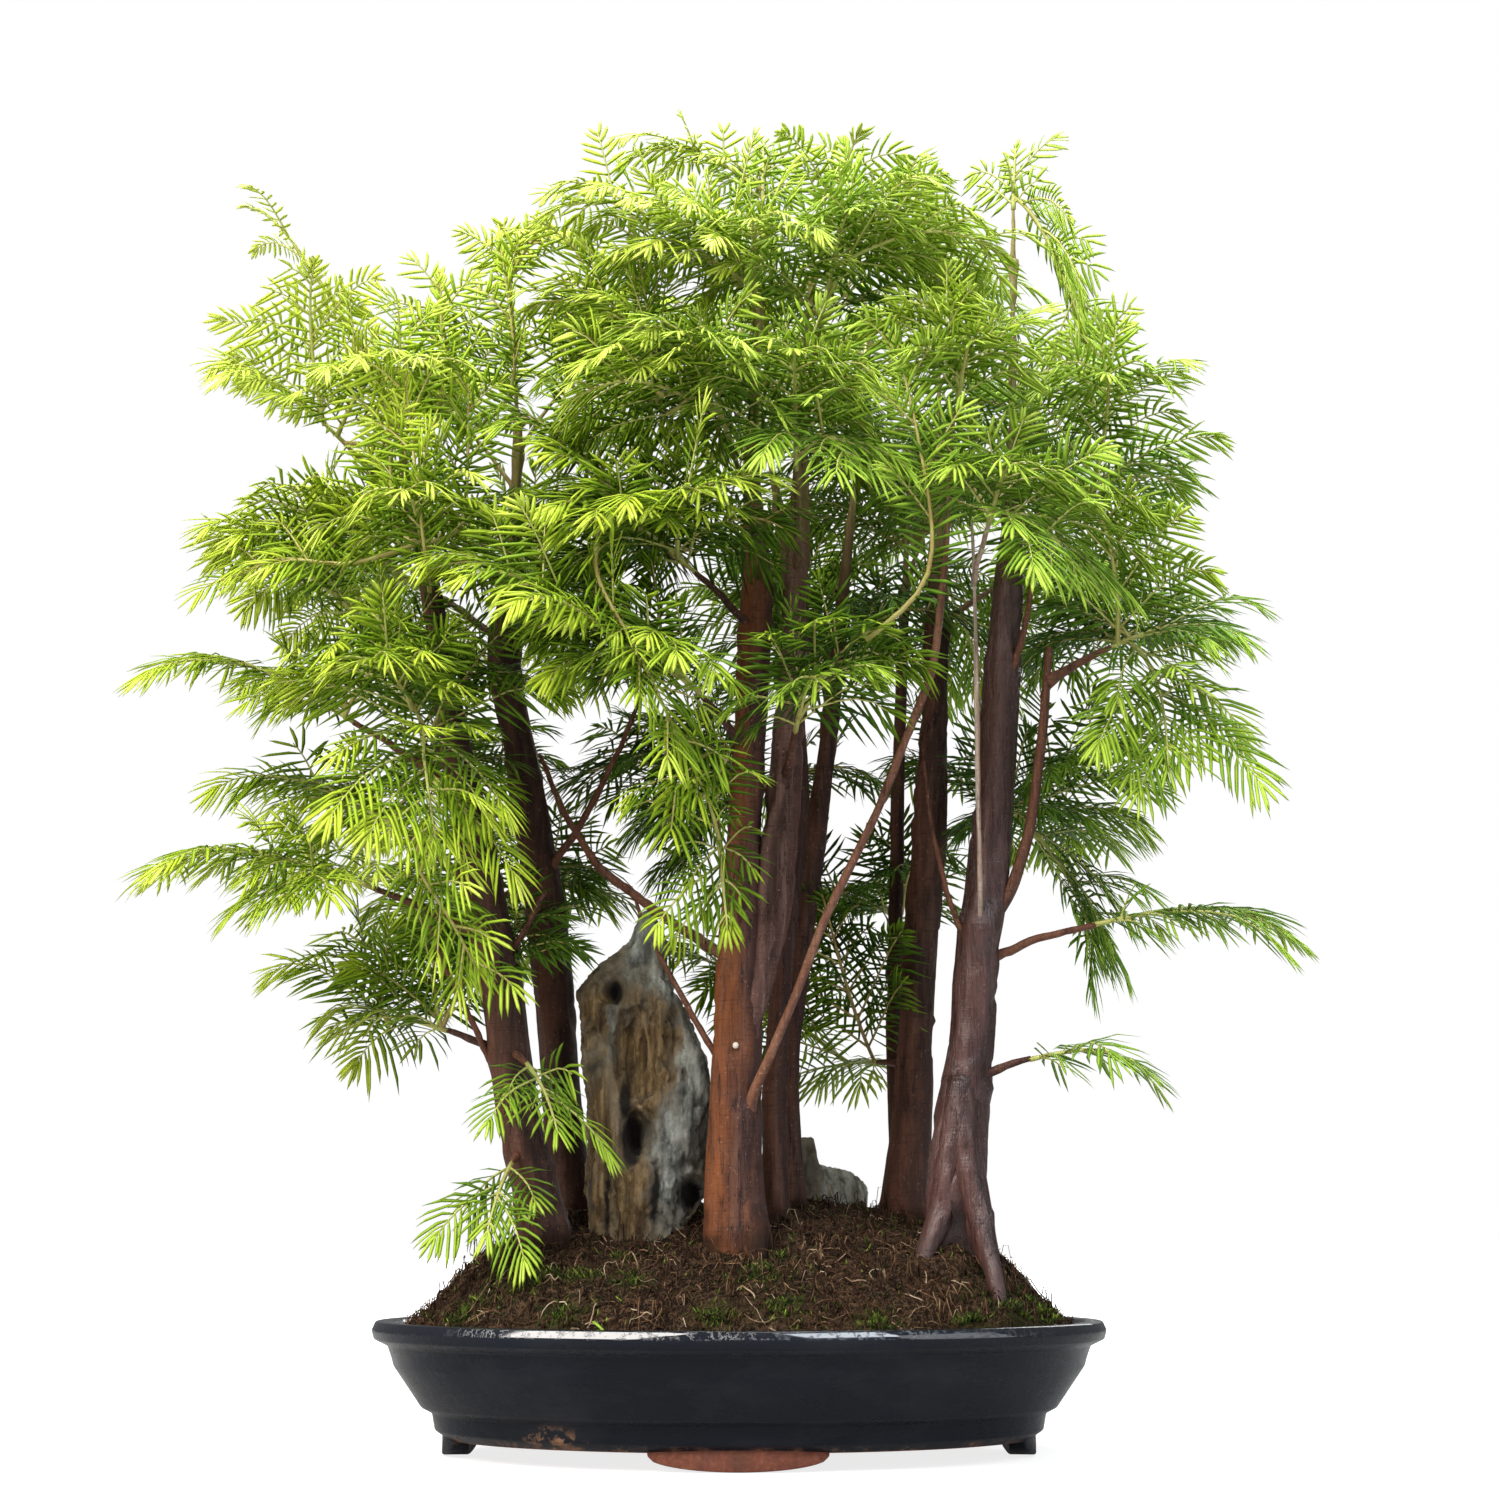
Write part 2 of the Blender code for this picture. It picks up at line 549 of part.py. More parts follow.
def axis_path(axis):
    points = [axis.at(k / 12) for k in range(13)]
    return points, axis.flat(0.6).cross(axis.way(0.6)).normalized()


def along_path(points, distance):
    """The point and direction at a distance along a line of points."""
    for a, b in zip(points, points[1:]):
        step = (b - a).length
        if distance <= step or b is points[-1]:
            return a + (b - a) * min(1, distance / step), (b - a).normalized()
        distance -= step
    return points[-1], (points[-1] - points[-2]).normalized()


def path_length(points):
    return sum((b - a).length for a, b in zip(points, points[1:]))


def needle_stations(length, bare):
    """Distances along a shoot at which a pair of needles grows."""
    first, last = bare * length + 0.006, length - 0.004
    count = max(2, int((last - first) / NEEDLE_PITCH) + 1)
    return [first + (last - first) * k / (count - 1) for k in range(count)]


def needle_tip(point, way, out, share):
    """Where a needle ends. Needles get shorter towards both ends of a shoot."""
    length = NEEDLE_LENGTH * (0.55 + 0.45 * math.sin(math.pi * min(1, 0.25 + 0.75 * share)))
    lean = NEEDLE_LEAN - 0.35 * share
    return point + (way * math.cos(lean) + out * math.sin(lean)) * length


NEARBY = [(i, j, k) for i in (-1, 0, 1) for j in (-1, 0, 1) for k in (-1, 0, 1)]


class Clearances:
    """Keeps the lines that are already in the forest, to test new ones against."""

    def __init__(self):
        self.cells = {}

    def add(self, start, end, radius, owner):
        steps = max(1, int((end - start).length / 0.002))
        for k in range(steps + 1):
            point = start.lerp(end, k / steps)
            cell = tuple(int(c // 0.02) for c in point)
            self.cells.setdefault(cell, []).append((point, radius, owner))

    def touching(self, start, end, radius, owner, room):
        """What a line would touch, apart from anything whose name starts with owner."""
        steps = max(1, int((end - start).length / 0.002))
        for k in range(steps + 1):
            point = start.lerp(end, k / steps)
            cell = tuple(int(c // 0.02) for c in point)
            for shift in NEARBY:
                for other, other_radius, other_owner in self.cells.get(
                        tuple(c + s for c, s in zip(cell, shift)), ()):
                    if other_owner.startswith(owner):
                        continue
                    if (other - point).length < radius + other_radius + room:
                        return other_owner
        return None


def stem_cuts(length, bare):
    """Distances along a stem of its rings, and whether a pair of needles starts there."""
    cuts = [(0.0, False)]
    for station in needle_stations(length, bare):
        cuts += [(station - NEEDLE_WIDTH / 2, True), (station + NEEDLE_WIDTH / 2, False)]
    return sorted(cuts)


def straightened(points, bare):
    """The line that a stem's rings lie on, straight from each ring to the next."""
    cuts = stem_cuts(path_length(points), bare)
    return [along_path(points, distance)[0] for distance, _ in cuts] + [points[-1]]


def nearest_on(line, point):
    places = []
    for a, b in zip(line, line[1:]):
        share = (point - a).dot(b - a) / (b - a).length_squared
        places.append(a.lerp(b, min(1, max(0, share))))
    return min(places, key=lambda place: (place - point).length)


def leafy_stem(points, normal, radius, bare, keeps):
    """One closed stem with its needles raised from its sides. keeps says which needles fit."""
    length = path_length(points)
    cuts = stem_cuts(length, bare)
    verts, faces = [], []
    for distance, _ in cuts:
        point, way = along_path(points, distance)
        out = way.cross(normal).normalized()
        above = out.cross(way).normalized()
        thick = radius * (1 - 0.35 * distance / length)
        if distance == 0 and radius < BUTT_RADIUS:
            thick *= SUNK_ROOT
        verts += [point + above * thick, point - out * thick - above * (0.5 * thick),
                  point + out * thick - above * (0.5 * thick)]
    faces.append((0, 1, 2))
    for k, (distance, is_needle) in enumerate(cuts[:-1]):
        base = 3 * k
        for j in range(3):
            a, b = base + j, base + (j + 1) % 3
            quad = (b, a, a + 3, b + 3)
            side = {0: -1, 2: 1}.get(j, 0)
            tip = keeps.get((round(distance + NEEDLE_WIDTH / 2, 6), side)) if is_needle and side else None
            if tip is None:
                faces.append(quad)
                continue
            verts.append(tip)
            faces += [(quad[i], quad[(i + 1) % 4], len(verts) - 1) for i in range(4)]
    rings_end = 3 * len(cuts)
    verts.append(points[-1])
    for j in range(3):
        faces.append((rings_end - 3 + (j + 1) % 3, rings_end - 3 + j, len(verts) - 1))
    return verts, faces


def samples(points):
    """Points at even steps along a line."""
    line = np.array([point[:] for point in points])
    along = np.concatenate([[0], np.cumsum(np.linalg.norm(np.diff(line, axis=0), axis=1))])
    at = np.linspace(0, along[-1], max(2, int(along[-1] / SAMPLE_STEP)))
    return np.stack([np.interp(at, along, line[:, k]) for k in range(3)], axis=1)


def wood_samples():
    """Points on the middle lines of all trunks and limbs, and the radius at each."""
    places, radii = [], []
    for listed in list(TRUNKS.values()) + [rows for _, _, rows in LIMBS.values()]:
        line = samples([Vector(row[:3]) * MM for row in listed])
        rising = sorted((row[2], row[3]) for row in listed)
        places.append(line)
        radii.append(MM * np.interp(line[:, 2] / MM, [z for z, _ in rising], [r for _, r in rising]))
    return np.concatenate(places), np.concatenate(radii)


def kept_open(x, y, z):
    """The room in front of the trunks and the tall stone, where the crown lets them show."""
    return (y < 5 and z < 400 and -112 < x < 150) or (y < -60 and z < 420 and 90 < x < 140)


def frond_tips(draw, filled):
    """Places for the next frond's tip, the one with the most room round it first."""
    rows = np.array(CROWN_ROWS, dtype=float)
    tips = []
    for _ in range(FROND_TRIES):
        z = draw.uniform(FROND_LOW, FROND_HIGH)
        left, right, front, back = (float(np.interp(z, rows[:, 0], rows[:, k])) for k in (1, 2, 3, 4))
        turn, out = draw.uniform(0, 2 * math.pi), draw.uniform(0.1, 0.98) ** 0.6
        x = math.cos(turn) * out * (right if math.cos(turn) > 0 else -left)
        y = math.sin(turn) * out * (back if math.sin(turn) > 0 else -front)
        if not kept_open(x, y, z):
            tips.append((1, (x, y, z)))
    for trunk, (low, high) in HIDDEN.items():
        for _ in range(HIDING_TRIES):
            z = draw.uniform(low, high)
            at = point_on(trunk, z) / MM
            x = at.x + draw.uniform(-HIDING_SIDEWAYS, HIDING_SIDEWAYS)
            tips.append((HIDING_SHARE, (x, at.y - draw.uniform(HIDING_NEAR, HIDING_FAR), z)))
    ranked = []
    for share, tip in tips:
        distance = np.linalg.norm(filled - np.array(tip) * MM, axis=1).min()
        ranked.append((share * distance, tip))
    return [Vector(tip) * MM for _, tip in sorted(ranked, reverse=True)]


def frond_start(tip, axes):
    """The spray, and the share of its first axis, from which a frond reaches a tip most easily."""
    best = None
    for index, axis in enumerate(axes):
        for share in FROND_STARTS:
            span = tip - axis.at(share)
            if not FROND_SHORTEST < span.length < FROND_LONGEST:
                continue
            rise = span.z / max(math.hypot(span.x, span.y), 0.001)
            turn = 1 - span.normalized().dot(axis.way(share))
            cost = span.length * (1 + 0.7 * abs(rise - FROND_RISE) + 0.9 * max(0, turn - 0.7))
            if best is None or cost < best[0]:
                best = (cost, index, share)
    return best


def place_fronds():
    """The fronds of every spray, each clear of the wood and of the other sprays."""
    draw = random.Random(FROND_SEED)
    sprays = [branch_axes(index) for index in range(len(BRANCHES))]
    axes = [spray[1][0] for spray in sprays]
    wood, thick = wood_samples()
    bare = [samples([whole.at(WOODY_SHARE * k / 6) for k in range(7)]) for whole, _ in sprays]
    leafy = [[samples(axis_path(axis)[0]) for axis in spray[1]]
             + [samples(shoot_path(axis, *pair)[0]) for axis in spray[1] for pair in CAD_SHOOTS]
             for spray in sprays]
    fronds = [[] for _ in BRANCHES]
    for _ in range(FROND_COUNT):
        filled = np.concatenate([line for lines in leafy for line in lines])
        for tip in frond_tips(draw, filled):
            found = frond_start(tip, axes)
            if found is None:
                continue
            _, index, share = found
            number = 1000 + 40 * index + len(fronds[index])
            frond = Axis(axes[index].at(share), tip, number, way=axes[index].way(share))
            line = samples(axis_path(frond)[0])
            others = np.concatenate([row for k in range(len(BRANCHES)) if k != index
                                     for row in leafy[k] + [bare[k]]])
            to_wood = (np.linalg.norm(line[:, None] - wood[None], axis=2) - thick[None]).min()
            to_others = np.linalg.norm(line[:, None] - others[None], axis=2).min()
            if to_wood < FROND_TO_WOOD or to_others < FROND_CLEARANCE:
                continue
            fronds[index].append(frond)
            leafy[index].append(line)
            break
    return fronds


def spray_stems(index, fronds):
    """Every stem of a spray: points, normal, radius and bare share, the axes first."""
    _, axes = branch_axes(index)
    points, normal = axis_path(axes[0])
    points[0] = points[0] + (points[1] - points[0]).normalized() * GAP
    stems = [(straightened(points, BARE_SHARE), normal, BUTT_RADIUS, BARE_SHARE)]

    def grow(path, parent, bare):
        points, normal = path
        points[0] = nearest_on(stems[parent][0], points[0])
        stems.append((straightened(points, bare), normal, SHOOT_RADIUS, bare))

    for axis in axes[1:]:
        grow(axis_path(axis), 0, BARE_SHARE)
    for k, axis in enumerate(axes):
        for share, side in CAD_SHOOTS[:2 if k == 0 else 1]:
            grow(shoot_path(axis, share, side), k, SHOOT_BARE)
    for frond in fronds:
        grow(axis_path(frond), 0, FROND_BARE)
    return stems


def tree_of(wood):
    return wood if wood in TRUNKS else LIMBS[wood][0]


def bare_wood(index):
    """The points and radii of a branch's bare part, from its trunk's middle line."""
    whole, _ = branch_axes(index)
    points = [whole.at(WOODY_SHARE * k / BARE_STEPS) for k in range(BARE_STEPS + 1)]
    radii = [BUTT_RADIUS + BRANCH_TAPER * (1 - k / BARE_STEPS) for k in range(BARE_STEPS + 1)]
    return points, radii


def fill_clearances():
    """Lists the wood, then each spray's stems, leaving out side shoots that would cross others."""
    room, crossings, sprays = Clearances(), [], []
    runs = [(name, listed) for name, listed in TRUNKS.items()]
    runs += [(trunk, listed) for trunk, _, listed in LIMBS.values()]
    for name, listed in runs:
        points, radii = woody_run(listed, 3)
        for a, b, radius in zip(points, points[1:], radii):
            room.add(a, b, radius, name)
    for index, (wood, _, _) in enumerate(BRANCHES):
        bare, radii = bare_wood(index)
        for a, b, radius in zip(bare, bare[1:], radii):
            met = room.touching(a, b, radius, tree_of(wood), 2 * GAP)
            if met:
                crossings.append(("wood", index, BRANCHES[index][:2], met))
            room.add(a, b, radius, tree_of(wood))
    fronds = place_fronds()
    for index, (_, _, tips) in enumerate(BRANCHES):
        owner = "spray_%02d" % (index + 1)
        stems = []
        for k, stem in enumerate(spray_stems(index, fronds[index])):
            points = list(stem[0])
            if k == 0:
                points[0] = points[0].lerp(points[1], AT_BRANCH)
            lines = zip(points, points[1:])
            met = [room.touching(a, b, stem[2], owner, STEM_CLEARANCE) for a, b in lines]
            if any(met):
                if k >= len(tips):
                    continue
                crossings.append(("axis", index, BRANCHES[index], [m for m in met if m][:3]))
            stems.append(stem)
        for k, stem in enumerate(stems):
            for a, b in zip(stem[0], stem[0][1:]):
                room.add(a, b, stem[2], "%s/%d" % (owner, k))
        sprays.append((owner, stems))
    return room, sprays, crossings


def make_spray(owner, stems, room):
    """A spray: its stems with the needles that clear everything else, fused into one body."""
    built = []
    for number, (points, normal, radius, bare) in enumerate(stems):
        length = path_length(points)
        keeps = {}
        for station in needle_stations(length, bare):
            point, way = along_path(points, station)
            for side in (-1, 1):
                out = way.cross(normal).normalized() * side
                tip = needle_tip(point, way, out, station / length)
                root = point.lerp(tip, 0.12)
                label = "%s/%d" % (owner, number)
                if not room.touching(root, tip, NEEDLE_HALF, label, NEEDLE_CLEARANCE):
                    keeps[(round(station, 6), side)] = tip
                    room.add(root, tip, NEEDLE_HALF, label)
        built.append(mesh_of("stem", *leafy_stem(points, normal, radius, bare, keeps)))
    return with_boolean(built[0], built[1:], "UNION")


def make_tree(name):
    """A trunk with its limbs and the bare wood of its branches, fused into one body."""
    points, radii = woody_run(TRUNKS[name])
    parts = [tube(points, radii, TRUNK_SIDES.get(name, 8))]
    for trunk, sides, listed in LIMBS.values():
        if trunk == name:
            parts.append(tube(*woody_run(listed), sides))
    for index, (wood, _, _) in enumerate(BRANCHES):
        if tree_of(wood) != name:
            continue
        parts.append(tube(*bare_wood(index), BARE_SIDES))
    return with_boolean(parts[0], parts[1:], "UNION")


def trunk_cutters():
    """The holes in the soil: each trunk's and root's own shape, a little wider."""
    cutters = []
    runs = [(TRUNKS[name], TRUNK_SIDES.get(name, 8)) for name in TRUNKS]
    runs += [(listed, sides) for name, (_, sides, listed) in LIMBS.items() if name.endswith("root")]
    for listed, sides in runs:
        points, radii = woody_run(listed)
        low = [(p, r) for p, r in zip(points, radii) if p.z < ABOVE_SOIL]
        high = [(p, r) for p, r in zip(points, radii) if p.z >= ABOVE_SOIL][:1]
        rows = low + high if points[0].z < points[-1].z else high + low
        if points[0].z < points[-1].z:
            rows[0] = (rows[0][0] - UP * HOLE_CLEARANCE, rows[0][1])
        else:
            rows[-1] = (rows[-1][0] - UP * HOLE_CLEARANCE, rows[-1][1])
        cutters.append(tube([p for p, _ in rows], [r + HOLE_CLEARANCE for _, r in rows], sides))
    return cutters


# Stones

def stone_rings(centre, half, listed, grow=0.0):
    rings = []
    for z, wide, deep, shift in listed:
        ring = []
        for k in range(STONE_SIDES):
            turn = 2 * math.pi * k / STONE_SIDES
            rough = (1 + STONE_LUMPS[0] * math.sin(3 * turn + z * 0.05)
                     + STONE_LUMPS[1] * math.sin(5 * turn - z * 0.09))
            x = centre[0] + shift + (half[0] * wide * rough + grow) * math.cos(turn)
            y = centre[1] + (half[1] * deep * rough + grow) * math.sin(turn)
            ring.append(Vector((x, y, z)) * MM)
        rings.append(ring)
    return rings


def ellipsoid(centre, half):
    shape = bmesh.new()
    bmesh.ops.create_uvsphere(shape, u_segments=10, v_segments=7, radius=1)
    for vert in shape.verts:
        vert.co = Vector([(c + h * v) * MM for c, h, v in zip(centre, half, vert.co)])
    mesh = bpy.data.meshes.new("hollow")
    shape.to_mesh(mesh)
    shape.free()
    return mesh


def make_tall_stone():
    body = stacked("stone", stone_rings(TALL_STONE_CENTRE, TALL_STONE_HALF, TALL_STONE_RINGS))
    return with_boolean(body, [ellipsoid(*hollow) for hollow in TALL_STONE_HOLLOWS], "DIFFERENCE")


def make_low_stone():
    return stacked("stone", stone_rings(LOW_STONE_CENTRE, LOW_STONE_HALF, LOW_STONE_RINGS))


def stone_cutters():
    cutters = []
    for centre, half, listed in ((TALL_STONE_CENTRE, TALL_STONE_HALF, TALL_STONE_RINGS[:3]),
                                 (LOW_STONE_CENTRE, LOW_STONE_HALF, LOW_STONE_RINGS[:3])):
        rows = [(listed[0][0] - POCKET_GAP, *listed[0][1:]), *listed]
        cutters.append(stacked("pocket", stone_rings(centre, half, rows, POCKET_GAP)))
    return cutters


def centre_forest(forest):
    """Moves the empty so that the middle of all the pieces is over the origin."""
    low, high = [1e9, 1e9], [-1e9, -1e9]
    for obj in forest.children:
        for vert in obj.data.vertices:
            for k in range(2):
                low[k], high[k] = min(low[k], vert.co[k]), max(high[k], vert.co[k])
    forest.location = (-(low[0] + high[0]) / 2, -(low[1] + high[1]) / 2, 0)
    bpy.context.view_layer.update()


def main():
    clear_scene()
    glaze = material("dark glaze", (0.012, 0.014, 0.020), 0.25)
    earth = material("soil", (0.030, 0.017, 0.009), 0.95)
    bark = material("bark", (0.190, 0.070, 0.045), 0.60)
    stone = material("stone", (0.240, 0.180, 0.100), 0.85)
    plastic = material("plastic mesh", (0.010, 0.010, 0.010), 0.60)
    leaf = material("needles", (0.190, 0.400, 0.040), 0.50)

    forest = bpy.data.objects.new("forest", None)
    bpy.context.scene.collection.objects.link(forest)
    place("tray", make_tray(), glaze, forest)
    place("screen_left", make_screen(-1), plastic, forest)
    place("screen_right", make_screen(1), plastic, forest)
    place("soil", make_soil(trunk_cutters() + stone_cutters()), earth, forest)
    place("stone_tall", make_tall_stone(), stone, forest)
    place("stone_low", make_low_stone(), stone, forest)
    for name in TRUNKS:
        place(name, make_tree(name), bark, forest)
    room, sprays, crossings = fill_clearances()
    for owner, stems in sprays:
        place(owner, make_spray(owner, stems, room), leaf, forest)
    centre_forest(forest)
    return crossings


main()
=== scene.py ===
# A dawn redwood bonsai forest: the finish of every piece and the fine growth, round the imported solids
import math
import random

import bmesh
import bpy
import numpy as np
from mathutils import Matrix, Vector, noise


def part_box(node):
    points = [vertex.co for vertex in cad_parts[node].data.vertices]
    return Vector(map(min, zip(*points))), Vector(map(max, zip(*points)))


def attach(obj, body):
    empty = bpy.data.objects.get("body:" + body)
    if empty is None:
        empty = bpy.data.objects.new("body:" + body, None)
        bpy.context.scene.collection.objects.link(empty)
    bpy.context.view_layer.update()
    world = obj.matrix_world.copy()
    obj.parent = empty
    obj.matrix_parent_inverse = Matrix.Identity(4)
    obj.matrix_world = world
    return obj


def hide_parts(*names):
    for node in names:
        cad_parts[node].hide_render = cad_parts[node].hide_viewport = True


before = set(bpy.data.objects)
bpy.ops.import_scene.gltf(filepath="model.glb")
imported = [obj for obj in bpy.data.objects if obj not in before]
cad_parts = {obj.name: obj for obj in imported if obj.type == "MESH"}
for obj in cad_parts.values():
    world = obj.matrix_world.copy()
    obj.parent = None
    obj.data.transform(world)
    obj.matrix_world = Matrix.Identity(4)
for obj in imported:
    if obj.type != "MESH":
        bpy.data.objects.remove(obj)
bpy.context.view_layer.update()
print("frame loaded,", len(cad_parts), "nodes")

mm = 0.001
up = Vector((0, 0, 1))
trayLow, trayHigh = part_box("tray")
# the tray's middle, from which the plan, the fine growth and the soil are measured
middle = Vector(((trayLow[0] + trayHigh[0]) / 2, (trayLow[1] + trayHigh[1]) / 2, 0))


def copies(faces, count, points):  # a shape's faces, repeated for each of its copies
    return (faces[None] + (np.arange(count) * points)[:, None, None]).reshape(-1, 3)


def deselectAll():
    if bpy.context.mode != "OBJECT":
        bpy.ops.object.mode_set(mode="OBJECT")
    bpy.ops.object.select_all(action="DESELECT")


def editAll():  # edit mode, with the whole of the active shape selected
    bpy.ops.object.mode_set(mode="EDIT")
    bpy.ops.mesh.select_all(action="SELECT")


def endEdit():  # object mode again, with every face turned outward
    bpy.ops.mesh.select_all(action="SELECT")
    bpy.ops.mesh.normals_make_consistent(inside=False)
    bpy.ops.object.mode_set(mode="OBJECT")


def applied(piece, kind, **settings):  # a modifier with these settings, made permanent
    bpy.context.view_layer.objects.active = piece
    modifier = piece.modifiers.new(kind, kind)
    for key, value in settings.items():
        setattr(modifier, key, value)
    bpy.ops.object.modifier_apply(modifier=modifier.name)


def taken(model):  # the points and faces of a modelled shape, which is then removed
    points = np.array([vert.co[:] for vert in model.data.vertices])
    faces = np.array([face.vertices[:] for face in model.data.polygons])
    bpy.data.objects.remove(model)
    return points, faces


def pieceFrom(name, points, faces, finishes, smooth=True):  # a mesh piece from rows of points and faces
    mesh = bpy.data.meshes.new(name)
    points = np.asarray(points, dtype=np.float32) + np.array(middle, dtype=np.float32)
    faces = np.asarray(faces, dtype=np.int32)
    mesh.vertices.add(len(points))
    mesh.vertices.foreach_set("co", points.ravel())
    mesh.loops.add(faces.size)
    mesh.loops.foreach_set("vertex_index", faces.ravel())
    mesh.polygons.add(len(faces))
    mesh.polygons.foreach_set("loop_start", np.arange(len(faces), dtype=np.int32) * faces.shape[1])
    mesh.polygons.foreach_set("use_smooth", np.full(len(faces), smooth))
    mesh.update(calc_edges=True)
    for finish in finishes:
        mesh.materials.append(finish)
    piece = bpy.data.objects.new(name, mesh)
    bpy.context.scene.collection.objects.link(piece)
    return piece


def giveValues(piece, name, values):
    layer = piece.data.attributes.new(name, "FLOAT", "POINT")
    layer.data.foreach_set("value", np.asarray(values, dtype=np.float32))


def standsFor(piece, slot, *nodes):
    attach(piece, "root")
    if nodes:
        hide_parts(*nodes)


def roughAt(points, scale, shift=0.0, octaves=3):  # smooth noise from about -1 to 1 at each point
    scale = np.broadcast_to(np.asarray(scale, dtype=float), 3)
    moved = np.asarray(points) * scale + shift
    return np.array([noise.fractal(Vector(p), 0.7, 2.1, octaves) for p in moved])


def steady(number, key):  # a value from -1 to 1 that is the same on every run
    return 2 * random.Random(number * 131 + key).random() - 1


def unit(rows):  # each row at length one
    return rows / np.linalg.norm(rows, axis=-1, keepdims=True)


def grade(values, low, over):  # 0 up to the low value, and from there up to 1 over the given range
    return np.clip((values - low) / over, 0, 1)


def turnsOf(sides):
    return np.arange(sides) * 2 * math.pi / sides


def lengthOf(line):
    return np.linalg.norm(np.diff(line, axis=0), axis=1).sum()


def distances(line):  # from a line's start to each of its points, along the line
    return np.concatenate([[0], np.cumsum(np.linalg.norm(np.diff(line, axis=0), axis=1))])


def between(at, along, rows):  # the values of rows at places between them
    return np.stack([np.interp(at, along, column) for column in rows.T], axis=1)


def rounded(line, times):  # a line with its corners rounded off
    for _ in range(times):
        line[1:-1] = (line[:-2] + 2 * line[1:-1] + line[2:]) / 4
    return line


class Nodes:  # short ways to make and link the nodes of a material or world
    def __init__(self, tree):
        self.tree, self.places = tree, {}

    def feed(self, socket, value):
        if isinstance(value, bpy.types.NodeSocket):
            self.tree.links.new(value, socket)
        elif isinstance(value, tuple):
            socket.default_value = (*value, 1)[:len(socket.default_value)]
        else:
            socket.default_value = value

    def add(self, kind, fed, output, **settings):  # a node with these inputs and settings, as one output
        node = self.tree.nodes.new("ShaderNode" + kind)
        for key, value in settings.items():
            setattr(node, key, value)
        for key, value in fed.items():
            self.feed(node.inputs[key], value)
        return node.outputs[output]

    def place(self, stretch=(1, 1, 1)):  # object coordinates, stretched where a grain runs one way
        if stretch not in self.places:
            source = self.add("TexCoord", {}, "Object")
            self.places[stretch] = self.add("Mapping", {"Vector": source, "Scale": stretch}, "Vector")
        return self.places[stretch]

    def cloud(self, scale, detail=4, rough=0.55, stretch=(1, 1, 1)):
        fed = {"Vector": self.place(stretch), "Scale": scale, "Detail": detail, "Roughness": rough}
        return self.add("TexNoise", fed, "Fac")

    def ramp(self, source, stops):
        node = self.tree.nodes.new("ShaderNodeValToRGB")
        elements = node.color_ramp.elements
        elements.remove(elements[-1])
        elements[0].position, elements[0].color = stops[0][0], (*stops[0][1], 1)
        for place, colour in stops[1:]:
            elements.new(place).color = (*colour, 1)
        self.feed(node.inputs["Fac"], source)
        return node.outputs["Color"]

    def mixed(self, share, first, second):
        return self.add("Mix", {0: share, 6: first, 7: second}, 2, data_type="RGBA")

    def maths(self, operation, *values, clamp=False):
        return self.add("Math", dict(enumerate(values)), 0, operation=operation, use_clamp=clamp)

    def plus(self, *values, clamp=False):
        return self.maths("ADD", *values, clamp=clamp)

    def times(self, *values, clamp=False):
        return self.maths("MULTIPLY", *values, clamp=clamp)

    def spread(self, source, low, high, toLow=0.0, toHigh=1.0):  # stretches a range of values to another
        return self.add("MapRange", dict(enumerate((source, low, high, toLow, toHigh))), 0)

    def netted(self, source):  # a noise's distance from its middle, which is least along a net of thin lines
        return self.maths("ABSOLUTE", self.maths("SUBTRACT", source, 0.5))

    def given(self, name):  # what giveValues stored at the points
        return self.add("Attribute", {}, "Fac", attribute_name=name)

    def varied(self, name, scale, by, clamp=False):  # a stored value made uneven
        uneven = self.spread(self.cloud(scale, 3), 0.3, 0.7, -by, by)
        return self.plus(self.given(name), uneven, clamp=clamp)


class Finish(Nodes):  # a Principled material
    def __init__(self, name):
        self.material = bpy.data.materials.new(name)
        self.material.use_nodes = True
        super().__init__(self.material.node_tree)
        self.shader = self.tree.nodes["Principled BSDF"]

    def bump(self, height, strength, distance):
        fed = {"Height": height, "Strength": strength, "Distance": distance}
        self.feed(self.shader.inputs["Normal"], self.add("Bump", fed, "Normal"))

    def wear(self, colour, rough, shine=0.5):
        for name, value in (("Base Color", colour), ("Roughness", rough), ("Specular IOR Level", shine)):
            self.feed(self.shader.inputs[name], value)
        return self.material


def tonedFinish(name, value, scale, by, stops, rough, shine=0.5):  # a colour for each stored value
    skin = Finish(name)
    return skin.wear(skin.ramp(skin.varied(value, scale, by), stops), rough, shine)


# The forest's plan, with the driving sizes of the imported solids, in millimetres
# Trunks: points x, y, z and a radius, from the butt in the soil to the top; limbs with their trunk and points

